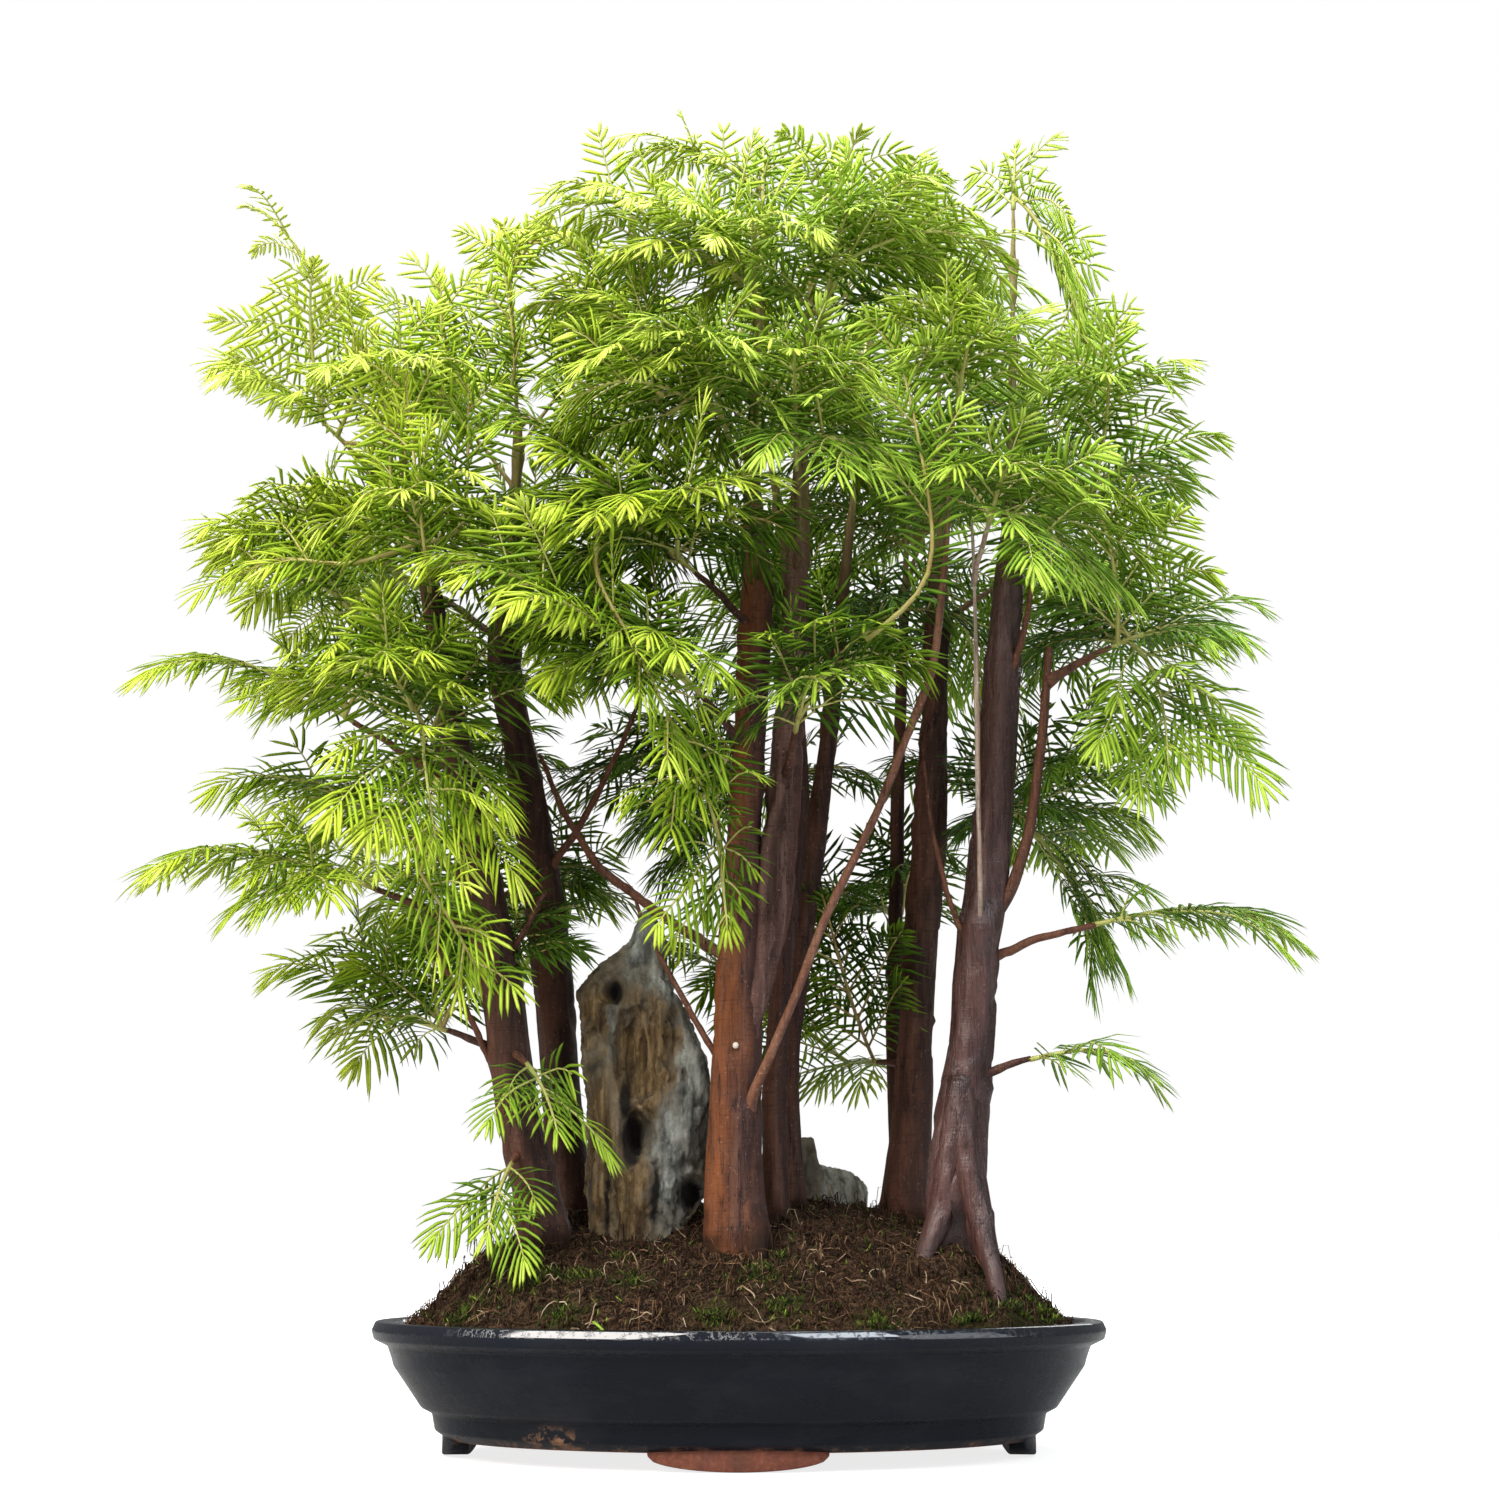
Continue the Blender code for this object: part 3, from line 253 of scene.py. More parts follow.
trunks = {
    "trunk_main": (
        (0, -30, 40, 13), (0, -30, 78, 15), (-2, -30, 100, 14), (-3, -30, 133, 12.5), (-1, -30, 189, 11),
        (0, -30, 221, 10.7), (2, -30, 288, 8.2), (9, -30, 402, 8), (6, -30, 467, 6.2),
        (10, -26, 550, 3.4), (11, -25, 574, 2.6)),
    "trunk_slim_front": (
        (20, 2, 45, 6), (18, 2, 110, 6.2), (16, 2, 157, 6), (20, 4, 215, 5.2), (30, 6, 300, 4.4),
        (26, 10, 400, 3.4), (14, 16, 500, 2)),
    "trunk_slim_back": (
        (30, 26, 45, 4.6), (27, 24, 110, 4.8), (24, 22, 160, 4.2), (27, 20, 205, 4.4), (38, 20, 295, 5.2),
        (48, 26, 370, 4.2), (58, 34, 470, 3), (68, 44, 560, 1.6)),
    "trunk_right_back": (
        (78, 40, 42, 11), (80, 40, 108, 11.5), (83, 40, 140, 10), (86, 40, 190, 9.2), (90, 40, 250, 9),
        (95, 40, 310, 8.6), (99, 40, 366, 6.4), (102, 42, 470, 4.6), (104, 44, 556, 2.6)),
    "trunk_thin_back": (
        (82, 66, 45, 4), (79, 64, 110, 4), (77, 62, 200, 3.8), (80, 62, 306, 3.6), (84, 66, 400, 2.8),
        (90, 74, 500, 1.6)),
    "trunk_right_front": (
        (100, -32, 45, 12), (99, -32, 92, 13.5), (98, -32, 112, 14.2), (102, -31, 150, 12),
        (108, -30, 187, 10), (111, -30, 235, 10.3), (115, -30, 245, 10), (120, -30, 298, 8.8),
        (126, -30, 372, 8.2), (131, -29, 430, 6.6), (134, -27, 510, 4.6), (135, -26, 572, 2.6)),
    "trunk_left_front": (
        (-86, -10, 45, 11), (-88, -10, 92, 12.5), (-96, -11, 125, 11), (-104, -12, 155, 9.8),
        (-110, -12, 195, 9.8), (-114, -13, 225, 10), (-127, -14, 290, 8.9), (-137, -15, 335, 7),
        (-149, -16, 400, 5), (-165, -18, 473, 3.2), (-192, -21, 542, 1.5)),
    "trunk_left_back": (
        (-80, 35, 45, 9.6), (-81, 35, 105, 10.2), (-87, 36, 170, 9.8), (-96, 36, 253, 9.8),
        (-106, 36, 313, 9.8), (-114, 36, 350, 8), (-120, 36, 375, 8.8), (-115, 35, 425, 6.2),
        (-114, 33, 500, 4), (-117, 31, 546, 2.6)),
}
limbs = {
    "fork": ("trunk_main", (
        (6, -34, 198, 5), (12, -32, 225, 7.2), (16, -31, 250, 8.6), (20, -30, 296, 8.2),
        (26, -29, 366, 6.4), (28, -28, 415, 6), (31, -28, 505, 4), (36, -26, 585, 1.8))),
    "leader": ("trunk_main", (
        (4, -38, 158, 2.6), (13, -50, 176, 2.2), (26, -56, 206, 2.1), (38, -58, 238, 2),
        (63, -62, 288, 1.9), (90, -66, 356, 1.8), (97, -70, 418, 1.5), (98, -74, 470, 1.2))),
    "pale_stem": ("trunk_right_front", (
        (112, -34, 228, 1.8), (111, -48, 262, 1.5), (111, -50, 300, 1.5), (111, -51, 369, 1.4),
        (110, -52, 430, 1.2))),
    "side_branch": ("trunk_right_front", (
        (116, -30, 240, 3.4), (127, -34, 256, 3.2), (136, -36, 284, 2.9), (143, -38, 330, 2.6),
        (147, -38, 372, 1.8))),
    "left_root": ("trunk_right_front", (
        (100, -32, 125, 7), (92, -40, 106, 6.6), (83, -46, 88, 4.6), (78, -50, 72, 3.4))),
    "right_root": ("trunk_right_front", (
        (102, -34, 128, 7), (109, -46, 104, 6.8), (114, -56, 82, 4.8), (116, -62, 64, 3.4))),
    "main_root": ("trunk_main", (
        (2, -34, 108, 8), (6, -42, 94, 7.5), (9, -50, 78, 5), (10, -54, 62, 3.6))),
}
# branches: the trunk or limb, then a height on it and the tips that the branch's leafy axes reach
branches = [(source, *row) for source, rows in (
    ("trunk_left_front", (
        (520, ((-253, -28, 607),)), (440, ((-263, -35, 517), (-205, -75, 560))),
        (350, ((-266, -4, 431), (-215, -70, 450))), (300, ((-290, -22, 367),)),
        (255, ((-256, 40, 318),)), (232, ((-281, -48, 262), (-209, -84, 246))),
        (180, ((-200, 6, 194),)), (140, ((-114, -64, 92),)), (184, ((-77, -72, 138),)),
        (290, ((-172, -118, 352), (-133, -112, 262))), (380, ((-152, -120, 430),)),
    )),
    ("trunk_left_back", (
        (544, ((-122, 8, 616), (-88, -26, 592))), (470, ((-192, 72, 548), (-150, 120, 560))),
        (390, ((-244, 92, 450), (-200, 140, 420))), (300, ((-238, 96, 290),)),
        (410, ((-118, 160, 480), (-70, 150, 400))), (490, ((-58, 92, 578), (-92, 42, 586))),
        (262, ((-164, 140, 246), (-140, 158, 322))),
    )),
    ("trunk_main", (
        (572, ((12, -14, 649), (-66, -24, 629))), (505, ((6, -138, 552), (-62, -100, 548))),
        (430, ((-30, -145, 496), (-82, -122, 470))), (380, ((-76, -130, 408), (-18, -148, 420))),
        (322, ((-56, -132, 348), (-98, -96, 372))), (236, ((-22, -118, 300), (-6, -88, 232))),
    )),
    ("fork", (
        (540, ((62, -62, 634),)), (485, ((54, -135, 560), (92, -110, 585))),
        (410, ((24, -152, 486), (52, -138, 436))), (305, ((36, -128, 340), (68, -104, 372))),
    )),
    ("leader", (
        (455, ((106, -136, 496), (78, -130, 520))),
    )),
    ("trunk_slim_front", (
        (455, ((-14, 96, 606), (-20, 148, 520))), (300, ((-24, 140, 318),)),
    )),
    ("trunk_slim_back", (
        (510, ((72, 118, 604), (30, 150, 560))), (350, ((36, 162, 404),)),
    )),
    ("trunk_right_back", (
        (554, ((90, 36, 638), (150, 104, 590))), (400, ((196, 116, 448), (180, 62, 512))),
        (290, ((206, 108, 300), (188, 52, 228))), (178, ((34, 98, 172),)),
    )),
    ("trunk_thin_back", (
        (420, ((112, 164, 492), (140, 160, 392))), (230, ((92, 154, 280),)),
    )),
    ("trunk_right_front", (
        (570, ((139, -20, 643), (172, -40, 528))), (430, ((226, -8, 462), (172, -104, 492))),
    )),
    ("side_branch", (
        (355, ((241, -26, 382), (200, -82, 300))),
    )),
    ("trunk_right_front", (
        (222, ((272, -28, 232),)), (168, ((192, -58, 172),)),
    )),
    ("pale_stem", (
        (400, ((124, -138, 436), (158, -122, 384))),
    )),
) for row in rows]
plan = {
    "woodyShare": 0.36, "lift": 0.22, "forkAt": 0.16, "lastNeedles": 0.009, "shootAngle": math.radians(48),
    "shootLength": 0.066, "buttRadius": 0.0013, "taper": 0.0012, "packedShoots": ((0.30, 1), (0.52, -1)),
    # an axis that grows from another bends at this share of its span, so far ahead and so far up
    "bendAt": 0.40, "ahead": 0.14, "rise": 0.10, "roll": 0.35,
    # how much side shoots differ in angle and length, how far they droop, and how they curve
    "angleVaries": 0.16, "lengthVaries": 0.12, "droop": 0.16, "droopVaries": 0.10, "curve": 0.12,
}


def treeOf(source):
    return source if source in trunks else limbs[source][0]


def rowsOf(source):  # a trunk's or limb's points, the lowest first
    return sorted(trunks.get(source) or limbs[source][1], key=lambda row: row[2])


def pointOn(source, height):  # the place on a trunk's or limb's middle line at a height in millimetres
    rows = rowsOf(source)
    for low, high in zip(rows, rows[1:]):
        if low[2] <= height <= high[2]:
            share = (height - low[2]) / (high[2] - low[2])
            return Vector(low[:3]).lerp(Vector(high[:3]), share) * mm
    return Vector(rows[-1][:3]) * mm


def thicknessAt(source, height):  # the radius of a trunk or a limb
    rows = rowsOf(source)
    return np.interp(height, [row[2] for row in rows], [row[3] for row in rows]) * mm


class Axis:  # a leafy axis from its butt to its tip: an arc that rises and then nods over
    def __init__(self, start, tip, number, first=0.0, way=None):
        span = tip - start
        self.start, self.tip, self.number, self.first = start, tip, number, first
        self.bend = start + span * 0.5 + up * (plan["lift"] * span.length)
        if way is not None:
            aside = way * plan["ahead"] + up * plan["rise"]
            self.bend = start + span * plan["bendAt"] + aside * span.length

    def at(self, share):
        t = self.first + (1 - self.first) * share
        return self.start * (1 - t) ** 2 + self.bend * 2 * t * (1 - t) + self.tip * t * t

    def way(self, share):
        t = self.first + (1 - self.first) * share
        return ((self.bend - self.start) * (1 - t) + (self.tip - self.bend) * t).normalized()

    def length(self):
        return sum((self.at((k + 1) / 8) - self.at(k / 8)).length for k in range(8))

    def flat(self, share):  # the sideways direction in the plane that the spray lies in
        way = self.way(share)
        out = way.cross(up)
        if out.length < 0.35:
            out = way.cross(Vector((self.tip.x, self.tip.y + 0.3, 0)))
        out.normalize()
        roll = plan["roll"] * steady(self.number, 7)
        return (out * math.cos(roll) + out.cross(way) * math.sin(roll)).normalized()

    def line(self):
        return [self.at(k / 12) for k in range(13)], self.flat(0.6).cross(self.way(0.6)).normalized()


def branchAxes(index):  # a branch from its trunk's middle, and the leafy axes of its spray
    wood, height, tips = branches[index]
    start = pointOn(wood, height)
    ends = [Vector(tip) * mm for tip in tips]
    ends = [end - (end - start).normalized() * plan["lastNeedles"] for end in ends]
    whole = Axis(start, ends[0], index * 4)
    main = Axis(start, ends[0], index * 4, first=plan["woodyShare"])
    axes = [main]
    for k, end in enumerate(ends[1:]):
        axes.append(Axis(main.at(plan["forkAt"]), end, index * 4 + 1 + k, way=main.way(plan["forkAt"])))
    return whole, axes


def shootLine(axis, share, side):  # a side shoot's points, and the direction square to its needles
    key = int(share * 1000) + side
    angle = plan["shootAngle"] + plan["angleVaries"] * steady(axis.number, key)
    reach = min(plan["shootLength"], 0.62 * axis.length() + 0.012)
    length = reach * (1.10 - 0.55 * share) * (1 + plan["lengthVaries"] * steady(axis.number, key + 17))
    way, flat = axis.way(share), axis.flat(share)
    out = way * math.cos(angle) + flat * (side * math.sin(angle))
    droop = plan["droop"] + plan["droopVaries"] * steady(axis.number, key + 31)
    points = []
    for t in (k / 8 for k in range(9)):
        points.append(axis.at(share) + out * (length * t) + way * (plan["curve"] * length * t * t)
                      - up * (droop * length * t * t))
    return points, flat.cross(way).normalized()


# Fronds that fill the crown: side branches of the sprays, whose tips each reach into the widest gap left

crown = {
    # its outline: a height, then how far it reaches left, right, to the front and to the back
    "rows": ((200, -190, 130, -60, 80), (250, -226, 165, -95, 115), (300, -240, 196, -120, 142),
             (370, -252, 218, -134, 152), (440, -238, 212, -138, 156), (520, -206, 182, -132, 150),
             (580, -132, 142, -108, 128), (625, -70, 118, -70, 90)),
    "low": 235, "high": 622, "count": 66, "tries": 30, "seed": 77,
    "starts": (0.06, 0.18, 0.30, 0.42, 0.54, 0.66),  # where along a spray's axis a frond may begin
    "shortest": 0.050, "longest": 0.130, "rise": 0.55, "clearance": 0.0038, "toWood": 0.0030,
    # the heights between which fronds hide a trunk from the front, and where their tips then lie
    "hidden": {"trunk_main": (405, 540), "trunk_right_front": (385, 570), "trunk_left_front": (350, 450),
               "trunk_left_back": (350, 500)},
    "hidingTries": 2, "hidingShare": 1.4, "sideways": 24, "near": 34, "far": 74, "step": 0.003,
}


def crownEdges(heights):
    rows = np.array(crown["rows"], dtype=float)
    return [np.interp(heights, rows[:, 0], rows[:, k]) for k in (1, 2, 3, 4)]


def samples(points):  # points at even steps along a line
    line = np.array([point[:] for point in points])
    along = distances(line)
    at = np.linspace(0, along[-1], max(2, int(along[-1] / crown["step"])))
    return between(at, along, line)


def woodSamples():  # points on the middle lines of all trunks and limbs, and the radius at each
    places, radii = [], []
    for source, rows in [*trunks.items(), *((limb, rows) for limb, (_, rows) in limbs.items())]:
        line = samples([Vector(row[:3]) * mm for row in rows])
        places.append(line)
        radii.append(thicknessAt(source, line[:, 2] / mm))
    return np.concatenate(places), np.concatenate(radii)


def keptOpen(x, y, z):  # the room in front of the trunks and the tall stone, where the crown lets them show
    return (y < 5 and z < 400 and -112 < x < 150) or (y < -60 and z < 420 and 90 < x < 140)


def frondTips(draw, filled):  # places for the next frond's tip, the one with the most room round it first
    tips = []
    for _ in range(crown["tries"]):
        z = draw.uniform(crown["low"], crown["high"])
        left, right, front, back = (float(edge) for edge in crownEdges(z))
        turn, out = draw.uniform(0, 2 * math.pi), draw.uniform(0.1, 0.98) ** 0.6
        x = math.cos(turn) * out * (right if math.cos(turn) > 0 else -left)
        y = math.sin(turn) * out * (back if math.sin(turn) > 0 else -front)
        if not keptOpen(x, y, z):
            tips.append((1, (x, y, z)))
    for trunk, (low, high) in crown["hidden"].items():
        for _ in range(crown["hidingTries"]):
            z = draw.uniform(low, high)
            at = pointOn(trunk, z) / mm
            x = at.x + draw.uniform(-crown["sideways"], crown["sideways"])
            tips.append((crown["hidingShare"], (x, at.y - draw.uniform(crown["near"], crown["far"]), z)))
    ranked = [(share * np.linalg.norm(filled - np.array(tip) * mm, axis=1).min(), tip) for share, tip in tips]
    return [Vector(tip) * mm for _, tip in sorted(ranked, reverse=True)]


def frondStart(tip, axes):  # the spray and the place along it from which a frond reaches a tip most easily
    best = None
    for index, axis in enumerate(axes):
        for share in crown["starts"]:
            span = tip - axis.at(share)
            if not crown["shortest"] < span.length < crown["longest"]:
                continue
            rise = span.z / max(math.hypot(span.x, span.y), 0.001)
            turn = 1 - span.normalized().dot(axis.way(share))
            cost = span.length * (1 + 0.7 * abs(rise - crown["rise"]) + 0.9 * max(0, turn - 0.7))
            if best is None or cost < best[0]:
                best = (cost, index, share)
    return best


def placeFronds():  # the fronds of every spray, each clear of the wood and of the other sprays
    draw = random.Random(crown["seed"])
    sprays = [branchAxes(index) for index in range(len(branches))]
    axes = [spray[1][0] for spray in sprays]
    places, radii = woodSamples()
    bare = [samples([whole.at(plan["woodyShare"] * k / 6) for k in range(7)]) for whole, _ in sprays]
    leafy = [[samples(axis.line()[0]) for axis in spray[1]]
             + [samples(shootLine(axis, *pair)[0]) for axis in spray[1] for pair in plan["packedShoots"]]
             for spray in sprays]
    placed = [[] for _ in branches]
    for _ in range(crown["count"]):
        filled = np.concatenate([line for lines in leafy for line in lines])
        for tip in frondTips(draw, filled):
            found = frondStart(tip, axes)
            if found is None:
                continue
            _, index, share = found
            number = 1000 + 40 * index + len(placed[index])
            frond = Axis(axes[index].at(share), tip, number, way=axes[index].way(share))
            line = samples(frond.line()[0])
            others = [row for k in range(len(branches)) if k != index for row in leafy[k] + [bare[k]]]
            fromWood = (np.linalg.norm(line[:, None] - places[None], axis=2) - radii[None]).min()
            fromOthers = np.linalg.norm(line[:, None] - np.concatenate(others)[None], axis=2).min()
            if fromWood > crown["toWood"] and fromOthers > crown["clearance"]:
                placed[index].append(frond)
                leafy[index].append(line)
                break
    return placed


def crownShare(points):  # 0 in the crown's middle and 1 at its outline
    x, y, z = points[:, 0] / mm, points[:, 1] / mm, points[:, 2] / mm
    left, right, front, back = crownEdges(z)
    across, deep = x / np.where(x < 0, -left, right), y / np.where(y < 0, -front, back)
    return np.clip(np.maximum(np.hypot(across, deep), (z - 400) / 240), 0, 1.2)


fronds = placeFronds()
print("fronds placed,", sum(len(row) for row in fronds))


# Tray

tray = {
    "length": 0.340, "width": 0.240, "sides": 180, "edge": 0.0007, "edgeAngle": math.radians(14),
    # how far in from the rim's outline, and the height: up the outside, over the lip and down inside
    "rows": ((0.0360, 0.0075), (0.0300, 0.0115), (0.0285, 0.0190), (0.0235, 0.0215), (0.0105, 0.0400),
             (0.0095, 0.0435), (0.0075, 0.0490), (0.0012, 0.0520), (0.0000, 0.0560), (0.0018, 0.0600),
             (0.0095, 0.0600), (0.0120, 0.0570), (0.0165, 0.0400), (0.0330, 0.0135)),
    "footArc": math.radians(34), "footDepth": 0.013, "footInset": 0.0335, "footTop": 0.0100,
    "footThins": 0.45, "footBow": 0.002, "footLobe": 0.0062, "footSteps": 28, "footEdge": 0.0009,
    "drainX": 0.070, "drainRadius": 0.008,
    # the clay is bare on the base and the floor up to these heights, and from the last the rim is glossy
    "bareTo": 0.0078, "floorTo": 0.0134, "rimFrom": 0.0505,
    "glazes": ((0.0042, 0.0052, 0.0085), (0.0085, 0.0120, 0.0210)), "dust": (0.050, 0.048, 0.052),
    "clays": ((0.130, 0.042, 0.026), (0.240, 0.074, 0.042), (0.370, 0.160, 0.100)),
    "flakedAt": (-0.082, -0.079, 0.0165),
}


def ovalSize(inset):
    return tray["length"] / 2 - inset, tray["width"] / 2 - inset


def glazeFinish(name, shines, gloss, worn=1.0):
    skin = Finish(name)
    streak = skin.cloud(1.0, 4, stretch=(26, 26, 90))
    dusty = skin.spread(skin.cloud(1.6, 7, 0.68, (12, 12, 30)), 0.50, 0.80, 0.0, 0.34)
    glaze = skin.mixed(skin.cloud(16, 5), *tray["glazes"])
    colour = skin.mixed(dusty, glaze, tray["dust"])
    # the bare edge of the base, and a patch where the glaze has flaked off low on the front
    low = skin.spread(skin.add("SeparateXYZ", {0: skin.place()}, "Z"), 0.0070, 0.0110, worn, 0.0)
    edge = skin.times(low, skin.spread(skin.cloud(90, 5, 0.7), 0.50, 0.60), clamp=True)
    x, y, z = tray["flakedAt"]
    ends = {0: skin.place((1, 1, 1.9)), 1: (middle.x + x, middle.y + y, z)}
    away = skin.add("VectorMath", ends, "Value", operation="DISTANCE")
    flake = skin.spread(skin.cloud(150, 6, 0.72), 0.50, 0.54)
    flaked = skin.times(skin.spread(away, 0.006, 0.021, 1.0, 0.0), flake, clamp=True)
    chips = skin.maths("MAXIMUM", edge, flaked)
    rust = skin.ramp(skin.cloud(260, 3), ((0.3, (0.120, 0.055, 0.030)), (0.7, (0.480, 0.270, 0.150))))
    rough = skin.plus(skin.spread(streak, 0.25, 0.75, *shines), skin.times(dusty, 0.55))
    rough = skin.maths("MAXIMUM", rough, skin.times(chips, 0.85))
    skin.bump(skin.plus(skin.cloud(34, 3), skin.times(flake, 0.25)), 0.22, 0.0012)
    return skin.wear(skin.mixed(chips, colour, rust), rough, gloss)


def clayFinish():
    skin = Finish("bareClay")
    grains = skin.cloud(420, 4, 0.7)
    clay = skin.ramp(grains, tuple(zip((0.25, 0.55, 0.85), tray["clays"])))
    dirt = skin.spread(skin.cloud(40, 5), 0.52, 0.72, 0.0, 0.6)
    skin.bump(grains, 0.35, 0.0004)
    return skin.wear(skin.mixed(dirt, clay, (0.060, 0.034, 0.024)), 0.85)


def modelTrayBody():
    deselectAll()
    rows = tray["rows"]
    centre = (middle.x, middle.y, rows[0][1])
    bpy.ops.mesh.primitive_circle_add(vertices=tray["sides"], radius=1, fill_type="NGON", location=(0, 0, 0))
    body = bpy.context.object
    body.name = "glazedTray"
    editAll()
    bpy.ops.transform.resize(value=(*ovalSize(rows[0][0]), 1))
    bpy.ops.transform.translate(value=centre)
    for (inset, z), (nextInset, nextZ) in zip(rows, rows[1:]):
        bpy.ops.mesh.extrude_region_move(TRANSFORM_OT_translate={"value": (0, 0, nextZ - z)})
        (a, b), (nextA, nextB) = ovalSize(inset), ovalSize(nextInset)
        bpy.ops.transform.resize(value=(nextA / a, nextB / b, 1), center_override=(*centre[:2], nextZ))
    endEdit()
    applied(body, "BEVEL", width=tray["edge"], segments=2, limit_method="ANGLE",
            angle_limit=tray["edgeAngle"])
    return body


def modelFoot(turn):  # one lobed foot that follows the tray's edge: a box cut in steps and bent along an arc
    deselectAll()
    bpy.ops.mesh.primitive_cube_add(size=1, location=(0, 0, 0))
    foot = bpy.context.object
    bpy.ops.object.mode_set(mode="EDIT")
    bpy.ops.mesh.select_all(action="DESELECT")
    shape = bmesh.from_edit_mesh(foot.data)
    for edge in shape.edges:
        edge.select = abs(edge.verts[0].co.x - edge.verts[1].co.x) > 0.5
    bmesh.update_edit_mesh(foot.data)
    bpy.ops.mesh.subdivide(number_cuts=tray["footSteps"] - 1)
    bpy.ops.object.mode_set(mode="OBJECT")
    for vert in foot.data.vertices:
        share = 2 * vert.co.x
        angle = turn + share * tray["footArc"] / 2
        depth = tray["footDepth"] * (1 - tray["footThins"] * share * share)
        inset = tray["footInset"] + tray["footBow"] * share * share + (depth if vert.co.y > 0 else 0)
        a, b = ovalSize(inset)
        lobed = tray["footLobe"] * (1 - math.sqrt(max(0, 1 - share * share)))
        high = tray["footTop"] if vert.co.z > 0 else lobed
        vert.co = (middle.x + a * math.cos(angle), middle.y + b * math.sin(angle), high)
    editAll()
    endEdit()
    applied(foot, "BEVEL", width=tray["footEdge"], segments=2, limit_method="ANGLE")
    return foot


def drillDrains(body):
    for side in (-1, 1):
        deselectAll()
        bpy.ops.mesh.primitive_cylinder_add(vertices=36, radius=tray["drainRadius"], depth=0.04,
                                            location=(middle.x + side * tray["drainX"], middle.y, 0.01))
        drill = bpy.context.object
        applied(body, "BOOLEAN", operation="DIFFERENCE", solver="EXACT", object=drill)
        bpy.data.objects.remove(drill)


def makeTray():
    body = modelTrayBody()
    clay, shadedFootGlaze = clayFinish(), glazeFinish("footGlazeAsShade", (0.30, 0.50), 0.18, 0.25)
    body.data.materials.append(glazeFinish("darkBlueGlaze", (0.20, 0.36), 0.18))
    body.data.materials.append(clay)
    body.data.materials.append(glazeFinish("rimGlaze", (0.03, 0.08), 0.95))
    drillDrains(body)
    for face in body.data.polygons:
        z = face.center.z
        bare = z < tray["bareTo"] or (z < tray["floorTo"] and face.area > 0.01)
        onRim = z > tray["rimFrom"] and face.normal.z > 0.12
        face.material_index = 1 if bare else 2 if onRim else 0
    feet = [modelFoot(quarter * math.pi / 2) for quarter in range(4)]
    # the end feet take the dark glaze as painted shade; the front and back feet are bare clay
    for foot, finish in zip(feet, (shadedFootGlaze, clay, shadedFootGlaze, clay)):
        foot.data.materials.append(finish)
    deselectAll()
    for piece in feet + [body]:
        piece.select_set(True)
    bpy.context.view_layer.objects.active = body
    bpy.ops.object.join()
    bpy.ops.object.shade_smooth_by_angle(angle=math.radians(40))
    standsFor(body, "glaze", "tray")
    return body


def finishScreens():
    skin = Finish("plasticMesh")
    grain = skin.cloud(500, 3)
    colour = skin.ramp(grain, ((0.3, (0.010, 0.010, 0.011)), (0.8, (0.035, 0.033, 0.030))))
    skin.bump(grain, 0.1, 0.0002)
    plastic = skin.wear(colour, 0.55)
    for name in ("screen_left", "screen_right"):
        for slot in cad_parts[name].material_slots:
            slot.material = plastic


makeTray()
finishScreens()
print("tray made")

# Soil, with its crumbs, dead roots and moss

ground = {
    "edgeZ": 0.0575, "rise": 0.0555, "halfLength": 0.157, "halfWidth": 0.107, "ridge": 0.035,
    "frontRun": 0.142, "backRun": 0.072, "edgeShare": 0.16, "lump": 0.0012, "rings": 64, "sides": 210,
    "rough": ((0.0022, 95, 3.0, 3), (0.0014, 320, 9.0, 2)),  # height, scale, shift and octaves of its noise
    "crumbs": 500, "crumbSize": (0.0008, 0.0024), "seed": 21,
    # the mound's foot and its side at the tray's wall: how far in from the tray's outline, and the height
    "hidden": ((0.0336, 0.0140), (0.0171, 0.0400)),
    # dead roots: name, how many, points in each, lengths, radii, middle tone and how high they arch
    "thatch": (("deadRootThatch", 1350, 8, (0.012, 0.040), (0.00016, 0.00042), 0.44, 0.0013),
               ("fineRootThatch", 3300, 4, (0.005, 0.015), (0.00018, 0.00040), 0.34, 0.0017)),
    # how much they bend, wander and thin, how their tones differ, and how deep their ends are in the soil
    "bends": 0.28, "wanders": 0.22, "thins": 0.45, "toneVaries": 0.24, "sunk": 0.0012,
    # moss patches: x, y and radius in millimetres
    "moss": ((-92, -58, 15), (-70, -62, 12), (-101, -44, 9), (-48, -66, 9), (8, -66, 12), (20, -86, 11),
             (-10, -92, 11), (122, -60, 16), (138, -38, 15), (104, -80, 11), (-52, -44, 7), (60, -92, 11),
             (-120, -58, 12), (-76, -84, 11), (18, -46, 7), (-30, 60, 15), (-90, 62, 12), (40, 70, 10),
             (122, 40, 13)),
    # soil heaped over the root ends: x, y, radius and height in millimetres
    "heaps": ((117, -66, 11, 6), (98, -44, 11, 9), (80, -54, 9, 4), (10, -58, 9, 3)),
    "blades": 3500, "strayBlades": 900, "bladeHeights": (0.0016, 0.0042), "bladeRadii": (0.00062, 0.00010),
    "bladeLeans": 0.55, "patchSpread": 0.62,
    # a fallen green needle: x and y of its ends in millimetres, its radii, height and tone
    "fallen": ((-62, -92), (-57, -101)), "fallenRadii": (0.0009, 0.0006), "fallenUp": 0.0018,
    "fallenTone": 1.2,
}


def outOf(x, y):  # 0 in the mound's middle and 1 at its edge
    return np.hypot(x / ground["halfLength"], y / ground["halfWidth"])


